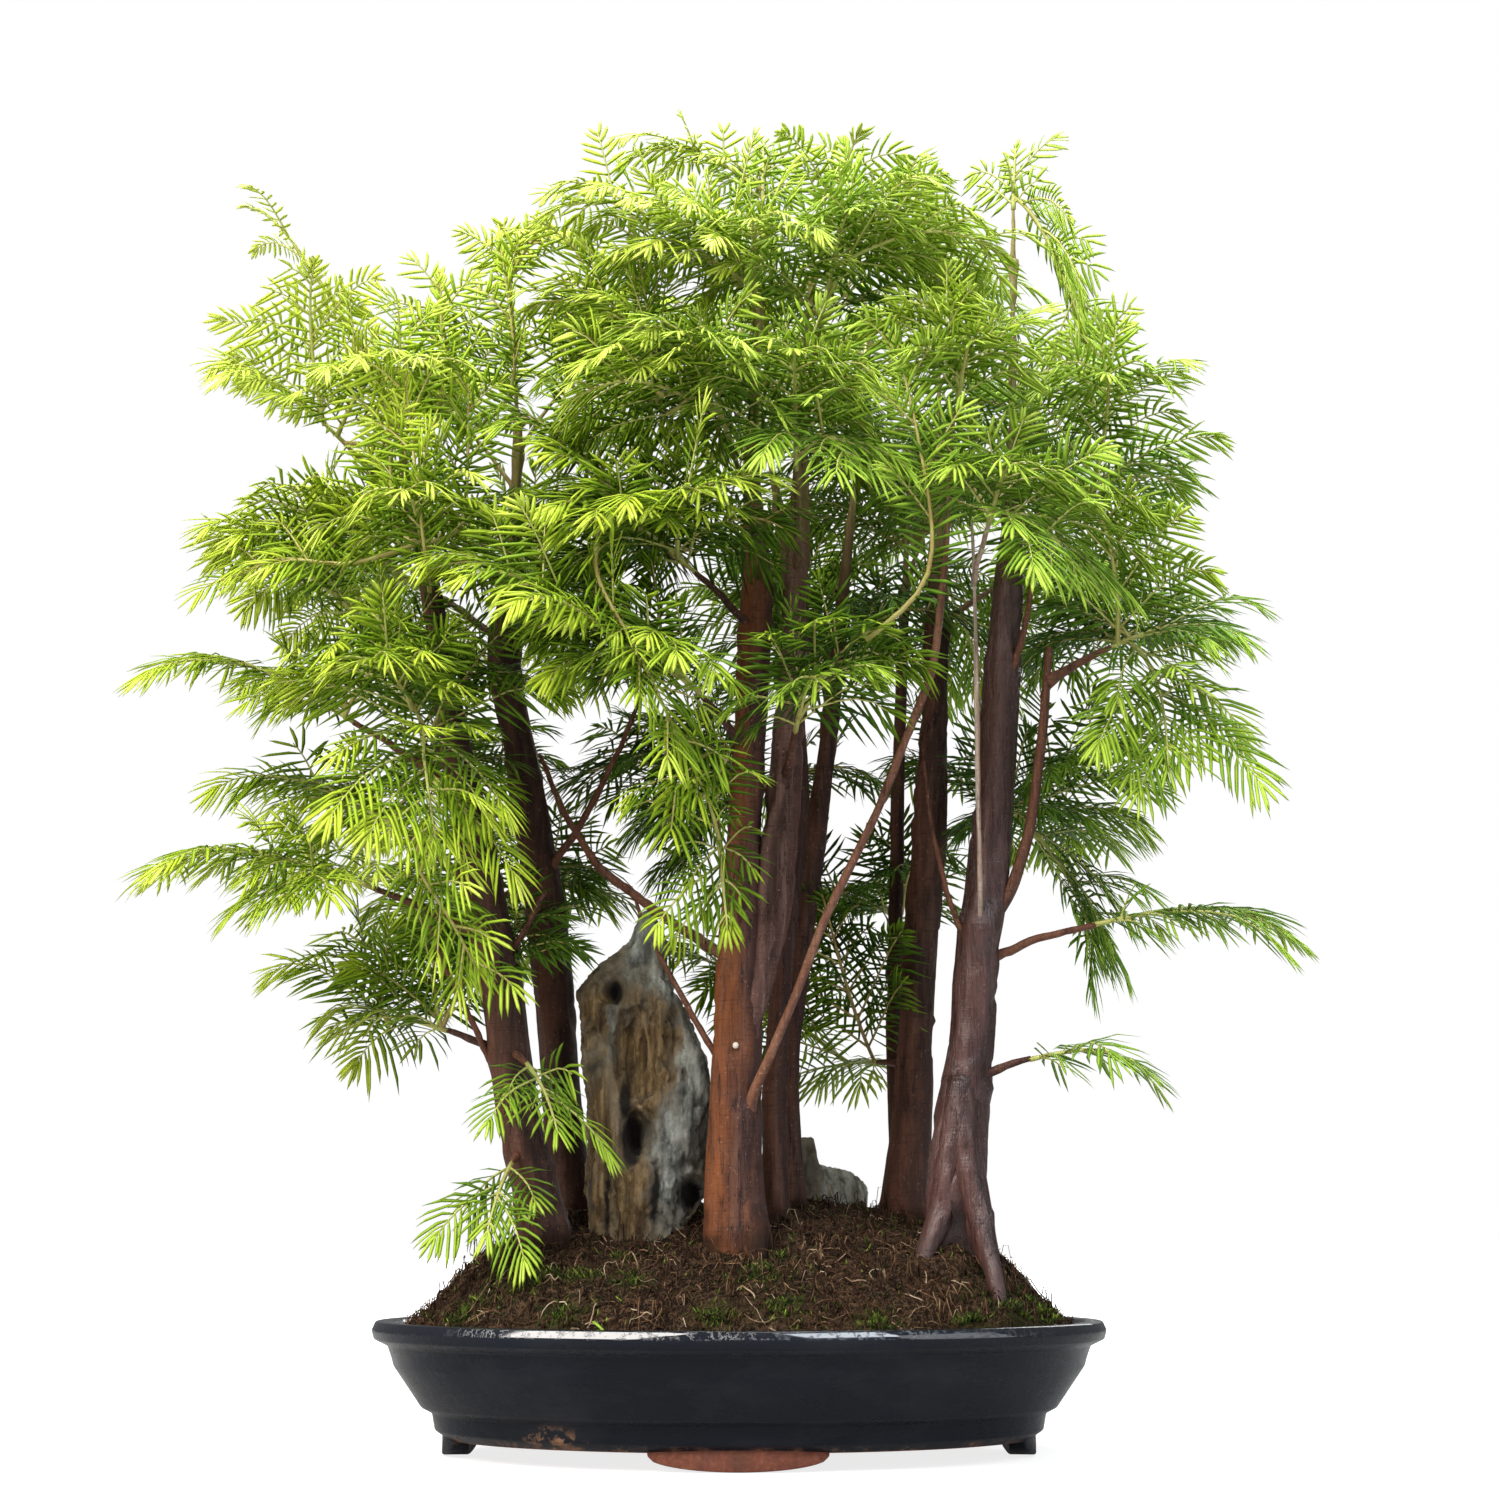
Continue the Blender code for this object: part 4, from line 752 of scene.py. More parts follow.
def soilHeight(x, y):  # a ridge behind the middle, level along most of the tray, with small lumps
    run = np.where(y < ground["ridge"], ground["frontRun"], ground["backRun"])
    across = 1 - np.minimum(1, np.abs(y - ground["ridge"]) / run) ** 1.5
    along = 1 - np.minimum(1, np.abs(x) / ground["halfLength"]) ** 3.4
    rim = np.minimum(1, np.maximum(0, 1 - outOf(x, y)) / ground["edgeShare"]) ** 0.7
    lumps = ground["lump"] * np.sin(61 * x + 2 * np.sin(47 * y)) * np.sin(83 * y + 1.3) * rim
    return ground["edgeZ"] + ground["rise"] * across * along * rim + lumps


def soilTop(x, y):  # the finished surface, crumbly
    flat = np.stack([x, y, np.zeros_like(x)], axis=1)
    calm = np.clip((1.02 - outOf(x, y)) / 0.10, 0.25, 1)
    rough = sum(high * roughAt(flat, *settings) for high, *settings in ground["rough"])
    heaped = sum(high * mm * np.exp(-((x - hx * mm) ** 2 + (y - hy * mm) ** 2) / (size * mm) ** 2)
                 for hx, hy, size, high in ground["heaps"])
    return soilHeight(x, y) + rough * calm + heaped


def mossAt(x, y):  # how much moss grows at each place of the mound
    patches = np.array(ground["moss"]) * mm
    away = np.hypot(x[:, None] - patches[:, 0], (y[:, None] - patches[:, 1]) / 0.7) / patches[:, 2]
    return np.exp(-away ** 2).max(axis=1)


def soilFinish():
    skin = Finish("peatySoil")
    crumb = skin.cloud(330, 5, 0.7)
    dark = skin.ramp(crumb, ((0.30, (0.0040, 0.0026, 0.0018)), (0.52, (0.014, 0.0085, 0.0052)),
                             (0.70, (0.026, 0.016, 0.009)), (0.86, (0.080, 0.050, 0.028))))
    damp = skin.spread(skin.cloud(36), 0.45, 0.65, 0.0, 0.5)
    colour = skin.mixed(damp, dark, (0.028, 0.014, 0.007))
    for stretch, tone in (((150, 150, 120), (0.085, 0.048, 0.028)), ((270, 230, 200), (0.120, 0.072, 0.042))):
        net = skin.netted(skin.cloud(1.0, 4, 0.6, stretch))
        colour = skin.mixed(skin.spread(net, 0.004, 0.024, 0.85, 0.0), colour, tone)
    mossy = skin.times(skin.given("mossy"), skin.spread(crumb, 0.35, 0.60), clamp=True)
    skin.bump(crumb, 0.9, 0.0014)
    return skin.wear(skin.mixed(mossy, colour, (0.026, 0.034, 0.007)), 0.95, 0.08)


def fibreFinish():
    return tonedFinish("deadRoots", "tone", 240, 0.14, (
        (0.00, (0.010, 0.0058, 0.0038)), (0.34, (0.036, 0.0172, 0.0086)), (0.60, (0.100, 0.0500, 0.0250)),
        (0.80, (0.280, 0.170, 0.095)), (1.00, (0.560, 0.440, 0.310))), 0.75, 0.15)


def mossFinish():
    return tonedFinish("softMoss", "tone", 160, 0.2, (
        (0.0, (0.012, 0.018, 0.004)), (0.5, (0.050, 0.076, 0.012)), (0.85, (0.150, 0.190, 0.032)),
        (1.2, (0.330, 0.520, 0.060))), 0.9, 0.12)


def ringFaces(rings, sides):  # triangles between rings of points, and a fan at each end
    here = np.arange(sides)
    after = (here + 1) % sides
    faces = []
    for first in range(0, (rings - 1) * sides, sides):
        a, b = first + here, first + after
        faces += [np.stack([a, b, b + sides], 1), np.stack([a, b + sides, a + sides], 1)]
    faces.append(np.stack([np.full(sides, rings * sides), after, here], 1))
    last = (rings - 1) * sides
    faces.append(np.stack([np.full(sides, rings * sides + 1), last + here, last + after], 1))
    return np.concatenate(faces)


def makeMound():
    turns = turnsOf(ground["sides"])
    points = []
    for inset, z in ground["hidden"]:
        a, b = ovalSize(inset)
        points.append(np.stack([a * np.cos(turns), b * np.sin(turns), np.full(len(turns), z)], 1))
    for k in range(ground["rings"]):
        share = 1 - k / ground["rings"]
        x = ground["halfLength"] * share * np.cos(turns)
        y = ground["halfWidth"] * share * np.sin(turns)
        points.append(np.stack([x, y, soilTop(x, y)], 1))
    centre = soilTop(np.zeros(1), np.zeros(1))[0]
    faces = ringFaces(len(points), len(turns))
    points = np.concatenate(points + [[(0, 0, ground["hidden"][0][1])], [(0, 0, centre)]])
    mound = pieceFrom("soilMound", points, faces, [soilFinish()])
    giveValues(mound, "mossy", mossAt(points[:, 0], points[:, 1]))
    standsFor(mound, "soil", "soil")


def scattered(draw, count, reach=0.97):  # places spread evenly over the mound
    turn, share = draw.uniform(0, 2 * math.pi, count), np.sqrt(draw.random(count)) * reach
    return ground["halfLength"] * share * np.cos(turn), ground["halfWidth"] * share * np.sin(turn)


def makeCrumbs(draw):
    deselectAll()
    bpy.ops.mesh.primitive_ico_sphere_add(subdivisions=1, radius=1)
    shape, faces = taken(bpy.context.object)
    count = ground["crumbs"]
    x, y = scattered(draw, count)
    centres = np.stack([x, y, soilTop(x, y)], 1)
    size = draw.uniform(*ground["crumbSize"], count) * draw.uniform(0.6, 1, count)
    uneven = shape[None] * (1 + 0.35 * draw.uniform(-1, 1, (count, len(shape), 1)))
    uneven *= draw.uniform(0.7, 1.3, (count, 1, 3)) * size[:, None, None]
    points = (centres[:, None] + uneven).reshape(-1, 3)
    piece = pieceFrom("soilCrumbs", points, copies(faces, count, len(shape)), [soilFinish()], smooth=False)
    standsFor(piece, "soil")


def thinTubes(lines, thick, sides):  # many tubes of equal count at once: lines is tubes x points x 3
    count, rings = lines.shape[:2]
    ways = unit(np.gradient(lines, axis=1))
    side = unit(np.cross(ways, np.array((0.13, 0.27, 0.95))))
    other = np.cross(ways, side)
    turns = turnsOf(sides)
    ring = side[:, :, None] * np.cos(turns)[:, None] + other[:, :, None] * np.sin(turns)[:, None]
    points = lines[:, :, None] + ring * thick[:, :, None, None]
    points = np.concatenate([points.reshape(count, rings * sides, 3), lines[:, :1], lines[:, -1:]], axis=1)
    return points.reshape(-1, 3), copies(ringFaces(rings, sides), count, points.shape[1])


def growThreads(name, lines, thick, finish, tones):  # a piece of three-sided tubes, each with its own tone
    points, faces = thinTubes(lines, thick, 3)
    piece = pieceFrom(name, points, faces, [finish])
    giveValues(piece, "tone", np.repeat(tones, len(points) // len(lines)))
    standsFor(piece, "soil")


def makeThatch(draw, name, count, steps, lengths, radii, tone, arch):
    x, y = scattered(draw, count, 1.0)
    heading = draw.uniform(0, 2 * math.pi, count)
    length = draw.uniform(*lengths, count) * draw.uniform(0.5, 1, count)
    turning = draw.normal(0, ground["bends"], count)
    line = np.zeros((count, steps, 3))
    for k in range(steps):
        line[:, k, 0], line[:, k, 1] = x, y
        heading += turning + draw.normal(0, ground["wanders"], count)
        x, y = x + np.cos(heading) * length / steps, y + np.sin(heading) * length / steps
    line[:, :, :2] /= np.maximum(1, outOf(line[:, :, 0], line[:, :, 1]) / 0.985)[:, :, None]
    t = np.linspace(0, 1, steps)[None]
    lift = np.sin(math.pi * t) * draw.gamma(1.5, arch, count)[:, None]
    lift = lift + draw.normal(0, 0.0003, (count, steps))
    line[:, :, 2] = soilTop(line[:, :, 0].ravel(), line[:, :, 1].ravel()).reshape(count, steps) + lift
    line[:, (0, -1), 2] -= ground["sunk"]
    thick = draw.uniform(*radii, count)[:, None] * (1 - ground["thins"] * t)
    tones = np.clip(draw.normal(tone, ground["toneVaries"], count), 0, 1)
    growThreads(name, line, thick, fibreFinish(), tones)


def makeMoss(draw):
    patches = np.array(ground["moss"]) * mm
    weights = patches[:, 2] ** 2 / (patches[:, 2] ** 2).sum()
    count, strays = ground["blades"], ground["strayBlades"]
    pick = draw.choice(len(patches), count, p=weights)
    turn = draw.uniform(0, 2 * math.pi, count)
    share = np.abs(draw.normal(0, ground["patchSpread"], count))
    x = patches[pick, 0] + patches[pick, 2] * share * np.cos(turn)
    y = patches[pick, 1] + patches[pick, 2] * share * np.sin(turn) * 0.7
    x[:strays], y[:strays] = scattered(draw, strays)
    inward = np.maximum(1, outOf(x, y) / 0.97)
    x, y = x / inward, y / inward
    tall = draw.uniform(*ground["bladeHeights"], count) * (1.1 - 0.35 * np.minimum(share, 1.5))
    root = np.stack([x, y, soilTop(x, y) - 0.0006], 1)
    leans = draw.normal(0, ground["bladeLeans"], (2, count))
    lean = np.stack([*leans, np.ones(count)], 1)
    line = np.stack([root, root + lean * tall[:, None]], axis=1)
    thick = np.array(ground["bladeRadii"])[None] * draw.uniform(0.7, 1.3, count)[:, None]
    tone = draw.random(count) * 0.9
    ends = np.array(ground["fallen"]) * mm  # the last blade is the fallen needle
    line[-1] = np.column_stack([ends, soilTop(*ends.T) + ground["fallenUp"]])
    thick[-1], tone[-1] = ground["fallenRadii"], ground["fallenTone"]
    growThreads("mossTufts", line, thick, mossFinish(), tone)


makeMound()
soilDraw = np.random.default_rng(ground["seed"])
makeCrumbs(soilDraw)
for listed in ground["thatch"]:
    makeThatch(soilDraw, *listed)
makeMoss(soilDraw)
print("soil made")


# Stones

stones = {
    "voxel": 0.0015, "ribs": 0.0009, "pits": 0.0010, "horn": (-44, 10, 225, 8),
    # forms on the tall stone's front: x, z, half width, half height and how deep, in millimetres
    "relief": ((-50, 143, 5.0, 14, 5.0), (-31, 187, 4.5, 17, 3.6), (-61, 178, 3.0, 16, -2.4),
               (-44, 156, 6.0, 4.5, -4.5), (-23, 117, 6.5, 8, 7.0), (-38.5, 117, 1.7, 18, 3.0),
               (-60.5, 114, 1.6, 20, 2.8), (-50, 114, 8.5, 18, -2.2), (-25.5, 165, 1.5, 34, 2.4),
               (-20, 148, 1.3, 18, 1.6), (-58, 211, 5.0, 7, 4.0), (-66, 150, 1.4, 26, 1.6),
               (-46, 224, 2.0, 9, 1.8), (-71, 188, 5.0, 4, 4.0)),
    "lipFrom": 3.2,
    # where the tall stone is ochre or grey-blue, and where its hollows are painted dark as shade: x, z, half
    # width and half height
    "ochre": ((-44, 184, 16, 30), (-66, 134, 8, 42), (-50, 114, 10, 20), (-68, 202, 9, 11), (-44, 156, 8, 6)),
    "cool": ((-20, 165, 8, 46), (-30, 130, 9, 30), (-44, 232, 11, 15), (-36, 214, 12, 10), (-58, 190, 4, 15)),
    "dark": ((-50, 141, 5.0, 13), (-53, 160, 3.0, 9), (-23, 117, 5.5, 6.5), (-58, 211, 4.0, 5),
             (-38.5, 117, 1.5, 15), (-60.5, 114, 1.2, 15)),
    # the low stone's top, x and height, as the node has it and as the finished stone has it
    "domeX": (21.5, 23.6, 26, 42, 54.4, 64.5), "domeTop": (118, 134, 145, 145, 134, 118),
    "blockX": (21.5, 24, 37, 40, 52, 64.5), "blockTop": (130, 146, 147, 134, 131, 124), "blockFoot": 112,
    # each stone's plain, ochre and grey-blue tones, from dark to light
    "tallTones": (((0.060, 0.046, 0.030), (0.170, 0.135, 0.090), (0.300, 0.265, 0.200)),
                  ((0.036, 0.020, 0.008), (0.130, 0.080, 0.032), (0.320, 0.215, 0.105)),
                  ((0.075, 0.076, 0.066), (0.190, 0.198, 0.175), (0.370, 0.385, 0.345))),
    "lowTones": (((0.080, 0.064, 0.046), (0.175, 0.145, 0.105), (0.290, 0.255, 0.200)),
                 ((0.080, 0.055, 0.030), (0.170, 0.130, 0.080), (0.300, 0.240, 0.160)),
                 ((0.150, 0.145, 0.120), (0.360, 0.350, 0.300), (0.560, 0.560, 0.500))),
}


def stoneFinish(name, plain, ochre, cool):  # each colour is three tones
    skin = Finish(name)
    broad, grain = skin.cloud(75, 6, 0.66), skin.cloud(620, 5, 0.72)
    vein = skin.cloud(1.0, 6, 0.62, (230, 230, 26))
    wrinkle = skin.cloud(1.0, 6, 0.66, (170, 170, 60))
    uneven = skin.spread(broad, 0.35, 0.65, -0.22, 0.22)
    colour = skin.ramp(broad, tuple(zip((0.34, 0.50, 0.66), plain)))
    ochred = skin.spread(skin.plus(skin.given("ochre"), uneven), 0.05, 0.95)
    colour = skin.mixed(ochred, colour, skin.ramp(vein, tuple(zip((0.36, 0.50, 0.66), ochre))))
    cooled = skin.spread(skin.maths("SUBTRACT", skin.given("cool"), uneven), 0.05, 0.95)
    colour = skin.mixed(cooled, colour, skin.ramp(wrinkle, tuple(zip((0.38, 0.50, 0.63), cool))))
    colour = skin.mixed(skin.spread(grain, 0.54, 0.74, 0.0, 0.42), colour, (0.040, 0.034, 0.026))
    colour = skin.mixed(skin.spread(grain, 0.26, 0.40, 0.30, 0.0), colour, (0.520, 0.480, 0.400))
    # painted shade: deep darkens the hollows and creases
    colour = skin.mixed(skin.times(skin.given("deep"), 0.96, clamp=True), colour, (0.008, 0.006, 0.005))
    skin.bump(skin.plus(grain, skin.plus(vein, wrinkle)), 0.75, 0.0010)
    return skin.wear(colour, 0.86, 0.3)


def copyOfNode(name, node):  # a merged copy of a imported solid, remade in even small faces
    deselectAll()
    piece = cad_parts[node].copy()
    piece.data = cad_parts[node].data.copy()
    for key in list(piece.keys()):
        del piece[key]
    piece.name = name
    piece.parent = None
    bpy.context.scene.collection.objects.link(piece)
    piece.select_set(True)
    bpy.context.view_layer.objects.active = piece
    editAll()
    bpy.ops.mesh.remove_doubles(threshold=0.00001)
    bpy.ops.object.mode_set(mode="OBJECT")
    applied(piece, "REMESH", mode="VOXEL", voxel_size=stones["voxel"], use_smooth_shade=True)
    applied(piece, "SMOOTH", factor=0.6, iterations=8)
    return piece


def placesOf(mesh):  # points in millimetres from the tray's middle, and the way each one faces
    count = len(mesh.vertices)
    points, normals = np.zeros(count * 3), np.zeros(count * 3)
    mesh.vertices.foreach_get("co", points)
    mesh.vertices.foreach_get("normal", normals)
    return (points.reshape(-1, 3) - np.array(middle)) / mm, normals.reshape(-1, 3)


def moveTo(mesh, places):
    mesh.vertices.foreach_set("co", (places * mm + np.array(middle)).ravel())
    mesh.update()


def weathered(mesh, ribs, pits, shift):  # upright folds, creases and pits worn into a stone
    places, normals = placesOf(mesh)
    fold = roughAt(places, (0.17, 0.17, 0.020), shift, 4)
    crease = np.abs(roughAt(places, (0.060, 0.060, 0.026), shift + 5, 4))
    crease = np.clip(0.13 - crease, 0, 1) / 0.13
    pit = np.minimum(0, roughAt(places, 0.24, shift + 9, 3)) + 0.5 * roughAt(places, 0.5, shift + 12, 2)
    move = ribs * fold - 1.8 * ribs * crease + pits * pit
    moveTo(mesh, places + normals * (move / mm)[:, None])
    return crease


def ovals(places, x, z, wide, tall):  # how far out each place is in an oval of a stone's front, 1 at its edge
    return np.hypot((places[:, 0] - x) / wide, (places[:, 2] - z) / tall)


def near(places, spots, soft=0.45):  # 1 inside any of the ovals of a stone's front, 0 well outside them
    nearest = np.zeros(len(places))
    for spot in spots:
        nearest = np.maximum(nearest, np.clip((1 + soft - ovals(places, *spot)) / (2 * soft), 0, 1))
    return nearest


def dressed(stone, node, finish, **values):
    stone.data.materials.clear()
    stone.data.materials.append(finish)
    for name, given in values.items():
        giveValues(stone, name, given)
    standsFor(stone, "stone", node)


def makeTallStone():
    stone = copyOfNode("tallStone", "stone_tall")
    places, normals = placesOf(stone.data)
    facing = np.clip(-normals[:, 1] * 1.6, 0, 1)
    for *oval, depth in stones["relief"]:
        away, sharp = ovals(places, *oval), depth > stones["lipFrom"]
        dent = depth * np.exp(-away ** (6.0 if sharp else 3.0))
        if sharp:  # the deep hollows have lips that stand proud
            dent -= 0.22 * depth * np.exp(-((away - 1.25) / 0.22) ** 2)
        places[:, 1] += dent * facing
    x, wide, foot, high = stones["horn"]
    places[:, 2] += high * (grade(places[:, 2], foot, 18) * np.exp(-((places[:, 0] - x) / wide) ** 2))
    inBowl = near(places, stones["ochre"][:1], 0.2) * facing
    places[:, 1] += 0.9 * inBowl * np.sin(places[:, 0] * 1.25 + 2.2 * np.sin(places[:, 2] * 0.045))
    moveTo(stone.data, places)
    crease = weathered(stone.data, stones["ribs"], stones["pits"], 2.0)
    front = places[:, 1] < -2
    wander = places + np.stack([3.5 * roughAt(places, 0.09, k, 3) for k in (1, 2, 3)], 1)
    cool = near(wander, stones["cool"]) * np.where(front, 1, 0.4)
    cool = cool * (1 - near(wander, stones["ochre"][:1], 0.15))
    ochre = near(wander, stones["ochre"]) * front
    ochre = np.maximum(ochre, 0.7 * np.clip(0.3 + roughAt(places, 0.03, 7, 3), 0, 1))
    # painted shade on the front's deep hollows, and in the creases
    dark = near(0.7 * places + 0.3 * wander, stones["dark"], 0.22) * front
    dressed(stone, "stone_tall", stoneFinish("wornStone", *stones["tallTones"]),
            ochre=ochre * (1 - cool), cool=cool, deep=np.clip(dark + 0.45 * crease, 0, 1))


def makeLowStone():  # a block with a lower slab to its right
    stone = copyOfNode("lowStone", "stone_low")
    places, _ = placesOf(stone.data)
    foot = stones["blockFoot"]
    before = np.interp(places[:, 0], stones["domeX"], stones["domeTop"]) - foot
    after = np.interp(places[:, 0], stones["blockX"], stones["blockTop"]) - foot
    places[:, 2] = np.where(places[:, 2] > foot, foot + (places[:, 2] - foot) * after / before, places[:, 2])
    moveTo(stone.data, places)
    crease = weathered(stone.data, stones["ribs"] * 0.8, stones["pits"] * 0.8, 31.0)
    # deep paints shade into the creases
    dressed(stone, "stone_low", stoneFinish("greyStone", *stones["lowTones"]),
            ochre=0.5 * np.clip(roughAt(places, 0.04, 3, 3), 0, 1), cool=grade(places[:, 0], 38, 5),
            deep=0.5 * crease)


makeTallStone()
makeLowStone()
print("stones made")

# Trunks, limbs and bare twigs

wood = {
    "sides": 22, "limbSides": 10, "twigSides": 7, "step": 0.0027, "twigStep": 0.0032,
    "collar": 0.0016, "collarSize": 0.0062, "slimButts": (0.36, 0.10),
    "greenBark": (0.300, 0.250, 0.080), "earth": (0.024, 0.013, 0.008),
    "forkShadeLength": 0.008, "longForkShade": {"pale_stem": 0.07},  # over what length the painted shade at a limb's fork fades out along the limb
    # where a trunk turns into a green leader, over how much height, and how much it thins
    "young": (0.40, 0.09), "youngThin": 0.52,
    # lump and flare as shares of the radius, fissure, plate and ring in metres, and lobes at the foot
    "looks": {
        "trunk_main": (0.050, 0.00034, 0.00042, 0.00018, 0.24, 2.5),
        "trunk_slim_front": (0.07, 0.00030, 0.00030, 0.00010, 0.30, 1.5),
        "trunk_slim_back": (0.07, 0.00030, 0.00030, 0.00010, 0.30, 1.5),
        "trunk_right_back": (0.06, 0.00055, 0.00060, 0.00010, 0.25, 2),
        "trunk_thin_back": (0.07, 0.00025, 0.00020, 0.00010, 0.30, 1.5),
        "trunk_right_front": (0.050, 0.00045, 0.00060, 0.00014, 0.10, 2),
        "trunk_left_front": (0.06, 0.00050, 0.00050, 0.00012, 0.28, 2.5),
        "trunk_left_back": (0.06, 0.00050, 0.00050, 0.00012, 0.28, 2),
        "fork": (0.05, 0.00110, 0.00060, 0.0, 0.0, 1),
        "limb": (0.06, 0.00020, 0.00012, 0.0, 0.0, 1),
        "root": (0.12, 0.00060, 0.00055, 0.0, 0.0, 1),
    },
    # each trunk's knots and hollows: height, turn in degrees from +X towards +Y, size and how far out; the
    # hollows reach in and are painted dark as shade
    "knots": {
        "trunk_main": (
            (172, 262, 6, 1.4), (214, 250, 7, 1.4), (132, 280, 7, 1.0), (150, 300, 9, 1.6),
            (196, 215, 5, 1.2), (121, 245, 6, 0.8), (268, 300, 6, 1.2)),
        "trunk_right_front": (
            (238, 275, 9, 2.6), (186, 250, 6, 1.0), (320, 285, 6, 1.2), (214, 288, 5, 1.5),
            (104, 266, 8, -4.5), (92, 268, 9, -5.0), (140, 262, 4, -1.6)),
        "trunk_left_front": (
            (168, 275, 8, 1.8), (228, 250, 8, 2.0)),
        "trunk_left_back": (
            (190, 280, 7, 1.5), (262, 260, 7, 1.6)),
        "trunk_right_back": (
            (150, 270, 6, 1.3), (236, 250, 7, 1.6)),
    },
    "scar": ("trunk_main", 184, 268, 0.0014),
    # points before a limb's own that let it leave the bark at a slant, and the long ridges above the roots
    "joins": {
        "fork": ((3, -31, 172, 2.5),), "pale_stem": ((109, -31, 204, 2.4),),
        "leader": ((4, -23, 114, 4.0), (5, -29, 133, 4.3), (5, -34, 149, 3.7)),
        "left_root": ((103, -34, 168, 7.4), (100, -36, 146, 7.8), (96, -38, 125, 7.4)),
        "right_root": ((103, -34, 170, 7.0), (103, -37, 148, 7.4), (105, -41, 127, 7.2)),
        "main_root": ((-1, -31, 140, 9.0), (1, -33, 122, 9.3), (2, -35, 108, 9.0)),
    },
}
# bare twigs: the tree, and points x, y, z and a radius
twigs = (
    ("trunk_main", (
        (-2, -29, 222, 2.8), (-7, -28, 227, 2.6), (-38, -12, 248, 2.2), (-67, 0, 271, 1.9),
        (-86, 8, 300, 1.5), (-98, 14, 330, 1.0))),
    ("trunk_main", (
        (-1, -30, 168, 1.8), (-14, -30, 185, 1.5), (-30, -20, 214, 1.3), (-45, -10, 241, 1.1),
        (-52, -6, 262, 0.7))),
    ("trunk_main", (
        (0, -31, 222, 1.6), (-1, -41, 239, 1.4), (-6, -45, 258, 1.2), (-9, -50, 276, 1.0),
        (-12, -56, 300, 0.7))),
    ("trunk_left_front", (
        (-114, -13, 224, 1.7), (-105, -14, 234, 1.5), (-99, -20, 244, 1.3), (-91, -30, 256, 1.0))),
    ("trunk_left_front", (
        (-105, -12, 160, 1.8), (-119, -12, 182, 1.5), (-128, -20, 202, 1.3), (-138, -30, 223, 1.0),
        (-146, -36, 246, 0.7))),
    ("trunk_left_back", (
        (-99, 36, 268, 2.2), (-88, 28, 284, 1.9), (-76, 20, 300, 1.7), (-66, 20, 321, 1.4),
        (-55, 20, 344, 1.2), (-46, 18, 372, 0.8))),
    ("trunk_right_front", (
        (110, -30, 226, 1.8), (98, -36, 250, 1.3), (90, -40, 282, 1.1), (86, -44, 316, 0.7))),
    ("trunk_right_front", (
        (124, -30, 352, 2.0), (134, -40, 374, 1.5), (140, -48, 408, 1.0), (142, -52, 436, 0.7))),
)


class Gather:  # collects shapes, with values at their points, and then makes them one piece
    def __init__(self, *names):
        self.points, self.faces, self.slots, self.count = [], [], [], 0
        self.values = {name: [] for name in names}

    def add(self, points, faces, slot, **values):
        self.points.append(points)
        self.faces.append(faces + self.count)
        self.slots.append(np.full(len(faces), slot))
        self.count += len(points)
        for name in self.values:
            self.values[name].append(np.broadcast_to(values.get(name, 0.0), len(points)))

    def piece(self, name, finishes):
        made = pieceFrom(name, np.concatenate(self.points), np.concatenate(self.faces), finishes)
        made.data.polygons.foreach_set("material_index", np.concatenate(self.slots).astype(np.int32))
        for key, values in self.values.items():
            giveValues(made, key, np.concatenate(values))
        return made


def barkFinish(name, left, right, pale, rough, peel):
    skin = Finish(name)
    fibre = skin.cloud(1.0, 6, 0.7, (760, 760, 42))
    strips = skin.cloud(1.0, 5, 0.62, (230, 230, 13))
    patches = skin.cloud(1.0, 4, 0.6, (60, 60, 26))
    rings = skin.cloud(1.0, 4, 0.6, (90, 90, 1100))
    dots = skin.cloud(1.0, 2, 0.5, (900, 900, 560))
    crack = skin.netted(skin.cloud(1.0, 4, 0.55, (260, 260, 19)))
    thin = skin.times(skin.spread(crack, 0.004, 0.022, 0.9, 0.0), skin.spread(patches, 0.46, 0.60))
    # painted light and shade: bark facing left takes the lit left tone, bark facing right the darker right
    # tone
    side = skin.plus(skin.given("side"), skin.spread(patches, 0.3, 0.7, -0.26, 0.26), clamp=True)
    young = skin.times(skin.given("young"), skin.spread(strips, 0.35, 0.60, 0.45, 1.0))
    dark = tuple(0.30 * c for c in right)
    colour = left
    for share, tone in (
            (skin.spread(side, 0.28, 0.74), right),
            (skin.spread(strips, 0.47, 0.70, 0.0, peel), pale),
            (skin.spread(fibre, 0.30, 0.52, 0.58, 0.0), dark),
            (skin.spread(rings, 0.56, 0.66, 0.0, 0.42), dark),
            (thin, dark),
            (skin.spread(dots, 0.66, 0.72, 0.0, 0.55), tuple(1.35 * c + 0.03 for c in pale)),
            (skin.spread(dots, 0.28, 0.34, 0.65, 0.0), dark),
            # painted shade in fissures, hollows and where limbs leave their forks
            (skin.times(skin.given("deep"), 0.62, clamp=True), dark),
            (young, wood["greenBark"]),
            (skin.given("earthy"), wood["earth"])):
        colour = skin.mixed(share, colour, tone)
    height = skin.plus(skin.plus(fibre, skin.times(rings, 0.4)), skin.times(strips, 1.5))
    skin.bump(skin.maths("SUBTRACT", height, skin.times(thin, 0.9)), 0.6, 0.0007)
    gloss = skin.spread(fibre, 0.3, 0.7, rough - 0.08, rough + 0.14)
    gloss = skin.plus(gloss, skin.given("earthy"), clamp=True)
    return skin.wear(colour, gloss, 0.5 if rough < 0.4 else 0.22)


def evenLine(rows, step, soften):  # a line and its radii at even steps, with its corners rounded
    rows = np.array(rows) * mm
    along = distances(rows[:, :3])
    at = np.linspace(0, along[-1], max(4, int(along[-1] / step)))
    line = rounded(between(at, along, rows), soften)
    return line[:, :3], line[:, 3], at


